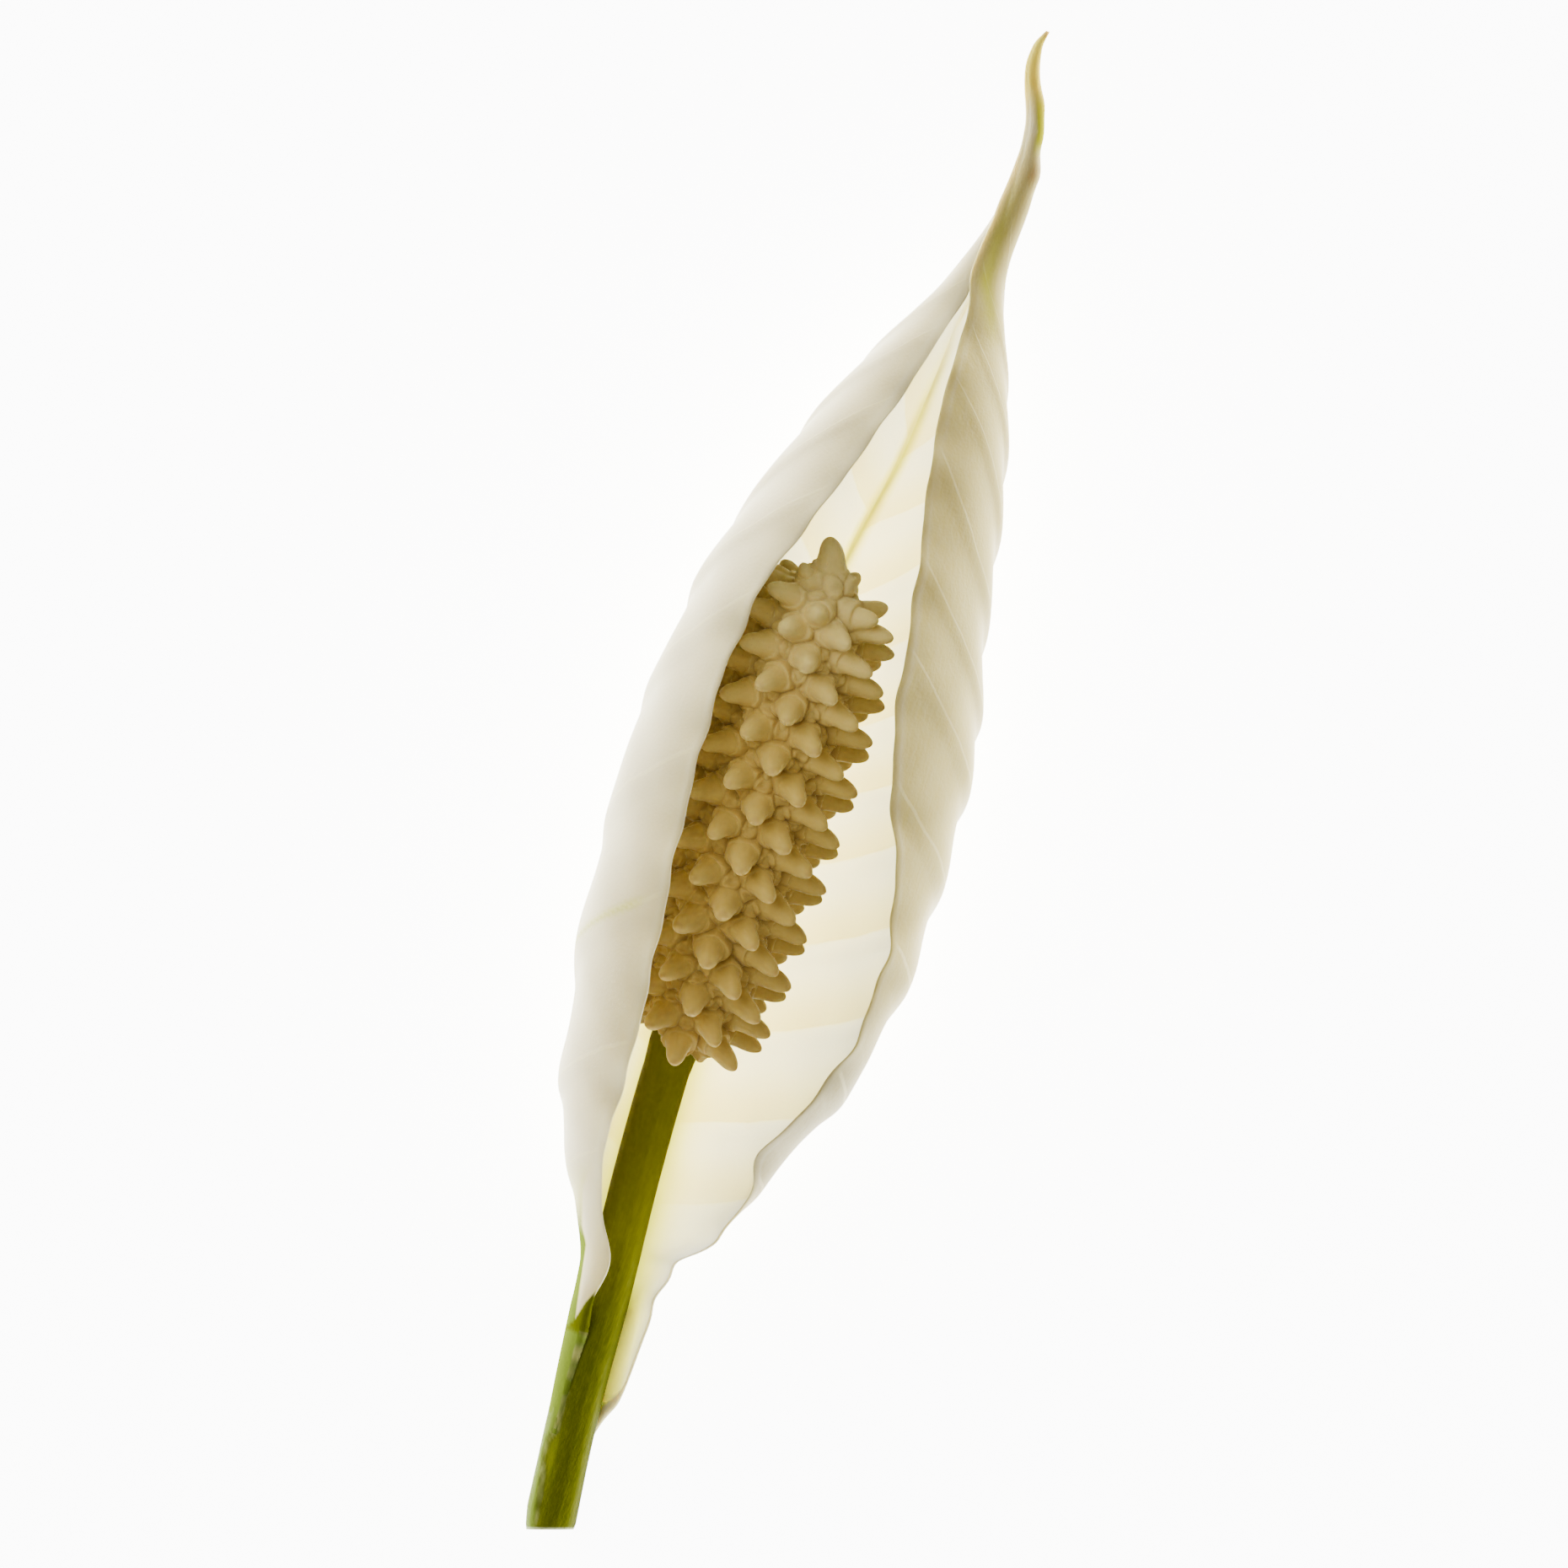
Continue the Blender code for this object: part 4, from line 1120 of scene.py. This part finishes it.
VIEW_DISTANCE = 3.0
VIEW_WIDTH = 0.1395  # what the view takes in at the bloom
VIEW_ROLL = 18.1  # degrees
VIEW_MIDDLE = Vector((-0.00083, 0.07, 0.024))  # in the bloom's frame
SENSOR = 36.0
FLOOR_SIZE = 6.0
TABLE_GLOW = 11.0
WORLD_GLOW = 0.3
# Name, place, size, power and colour
PANELS = [
    ("key", (-0.55, 0.35, 0.85), 0.7, 7.0, (1.0, 0.98, 0.95)),
    ("fill", (0.7, -0.4, 0.7), 0.9, 1.0, (1.0, 0.97, 0.92)),
]


def make_camera():
    camera = added("camera", bpy.data.cameras.new("camera"))
    camera.data.sensor_width = SENSOR
    camera.data.lens = SENSOR * VIEW_DISTANCE / VIEW_WIDTH
    camera.data.clip_end = 20.0
    middle = LAID @ VIEW_MIDDLE
    turned = LAID_TURN @ Matrix.Rotation(math.radians(VIEW_ROLL), 4, "Z")
    away = turned @ Vector((0, 0, VIEW_DISTANCE))
    camera.matrix_world = Matrix.Translation(middle + away) @ turned
    bpy.context.scene.camera = camera


def make_panel(name, place, size, power, colour):
    """A soft square light that faces the bloom, unseen by the camera."""
    data = bpy.data.lights.new(name, "AREA")
    data.shape = "SQUARE"
    data.size = size
    data.energy = power
    data.color = colour
    panel = added(name, data)
    panel.location = place
    panel.rotation_mode = "QUATERNION"
    panel.rotation_quaternion = Vector(place).to_track_quat("Z", "Y")
    panel.visible_camera = False


def make_stage(material):
    bm = bmesh.new()
    bmesh.ops.create_grid(bm, x_segments=8, y_segments=8, size=FLOOR_SIZE)
    mesh = bpy.data.meshes.new("floor")
    bm.to_mesh(mesh)
    bm.free()
    mesh.materials.append(material)
    floor = added("floor", mesh)
    world = bpy.data.worlds.new("studio")
    world.use_nodes = True
    background = world.node_tree.nodes["Background"]
    background.inputs["Color"].default_value = (1.0, 1.0, 1.0, 1)
    background.inputs["Strength"].default_value = WORLD_GLOW
    bpy.context.scene.world = world
    for panel in PANELS:
        make_panel(*panel)


make_camera()
make_stage(floor_paint())
make_spathe(spathe_paint())
make_florets(floret_paint())
make_stem(stem_paint())
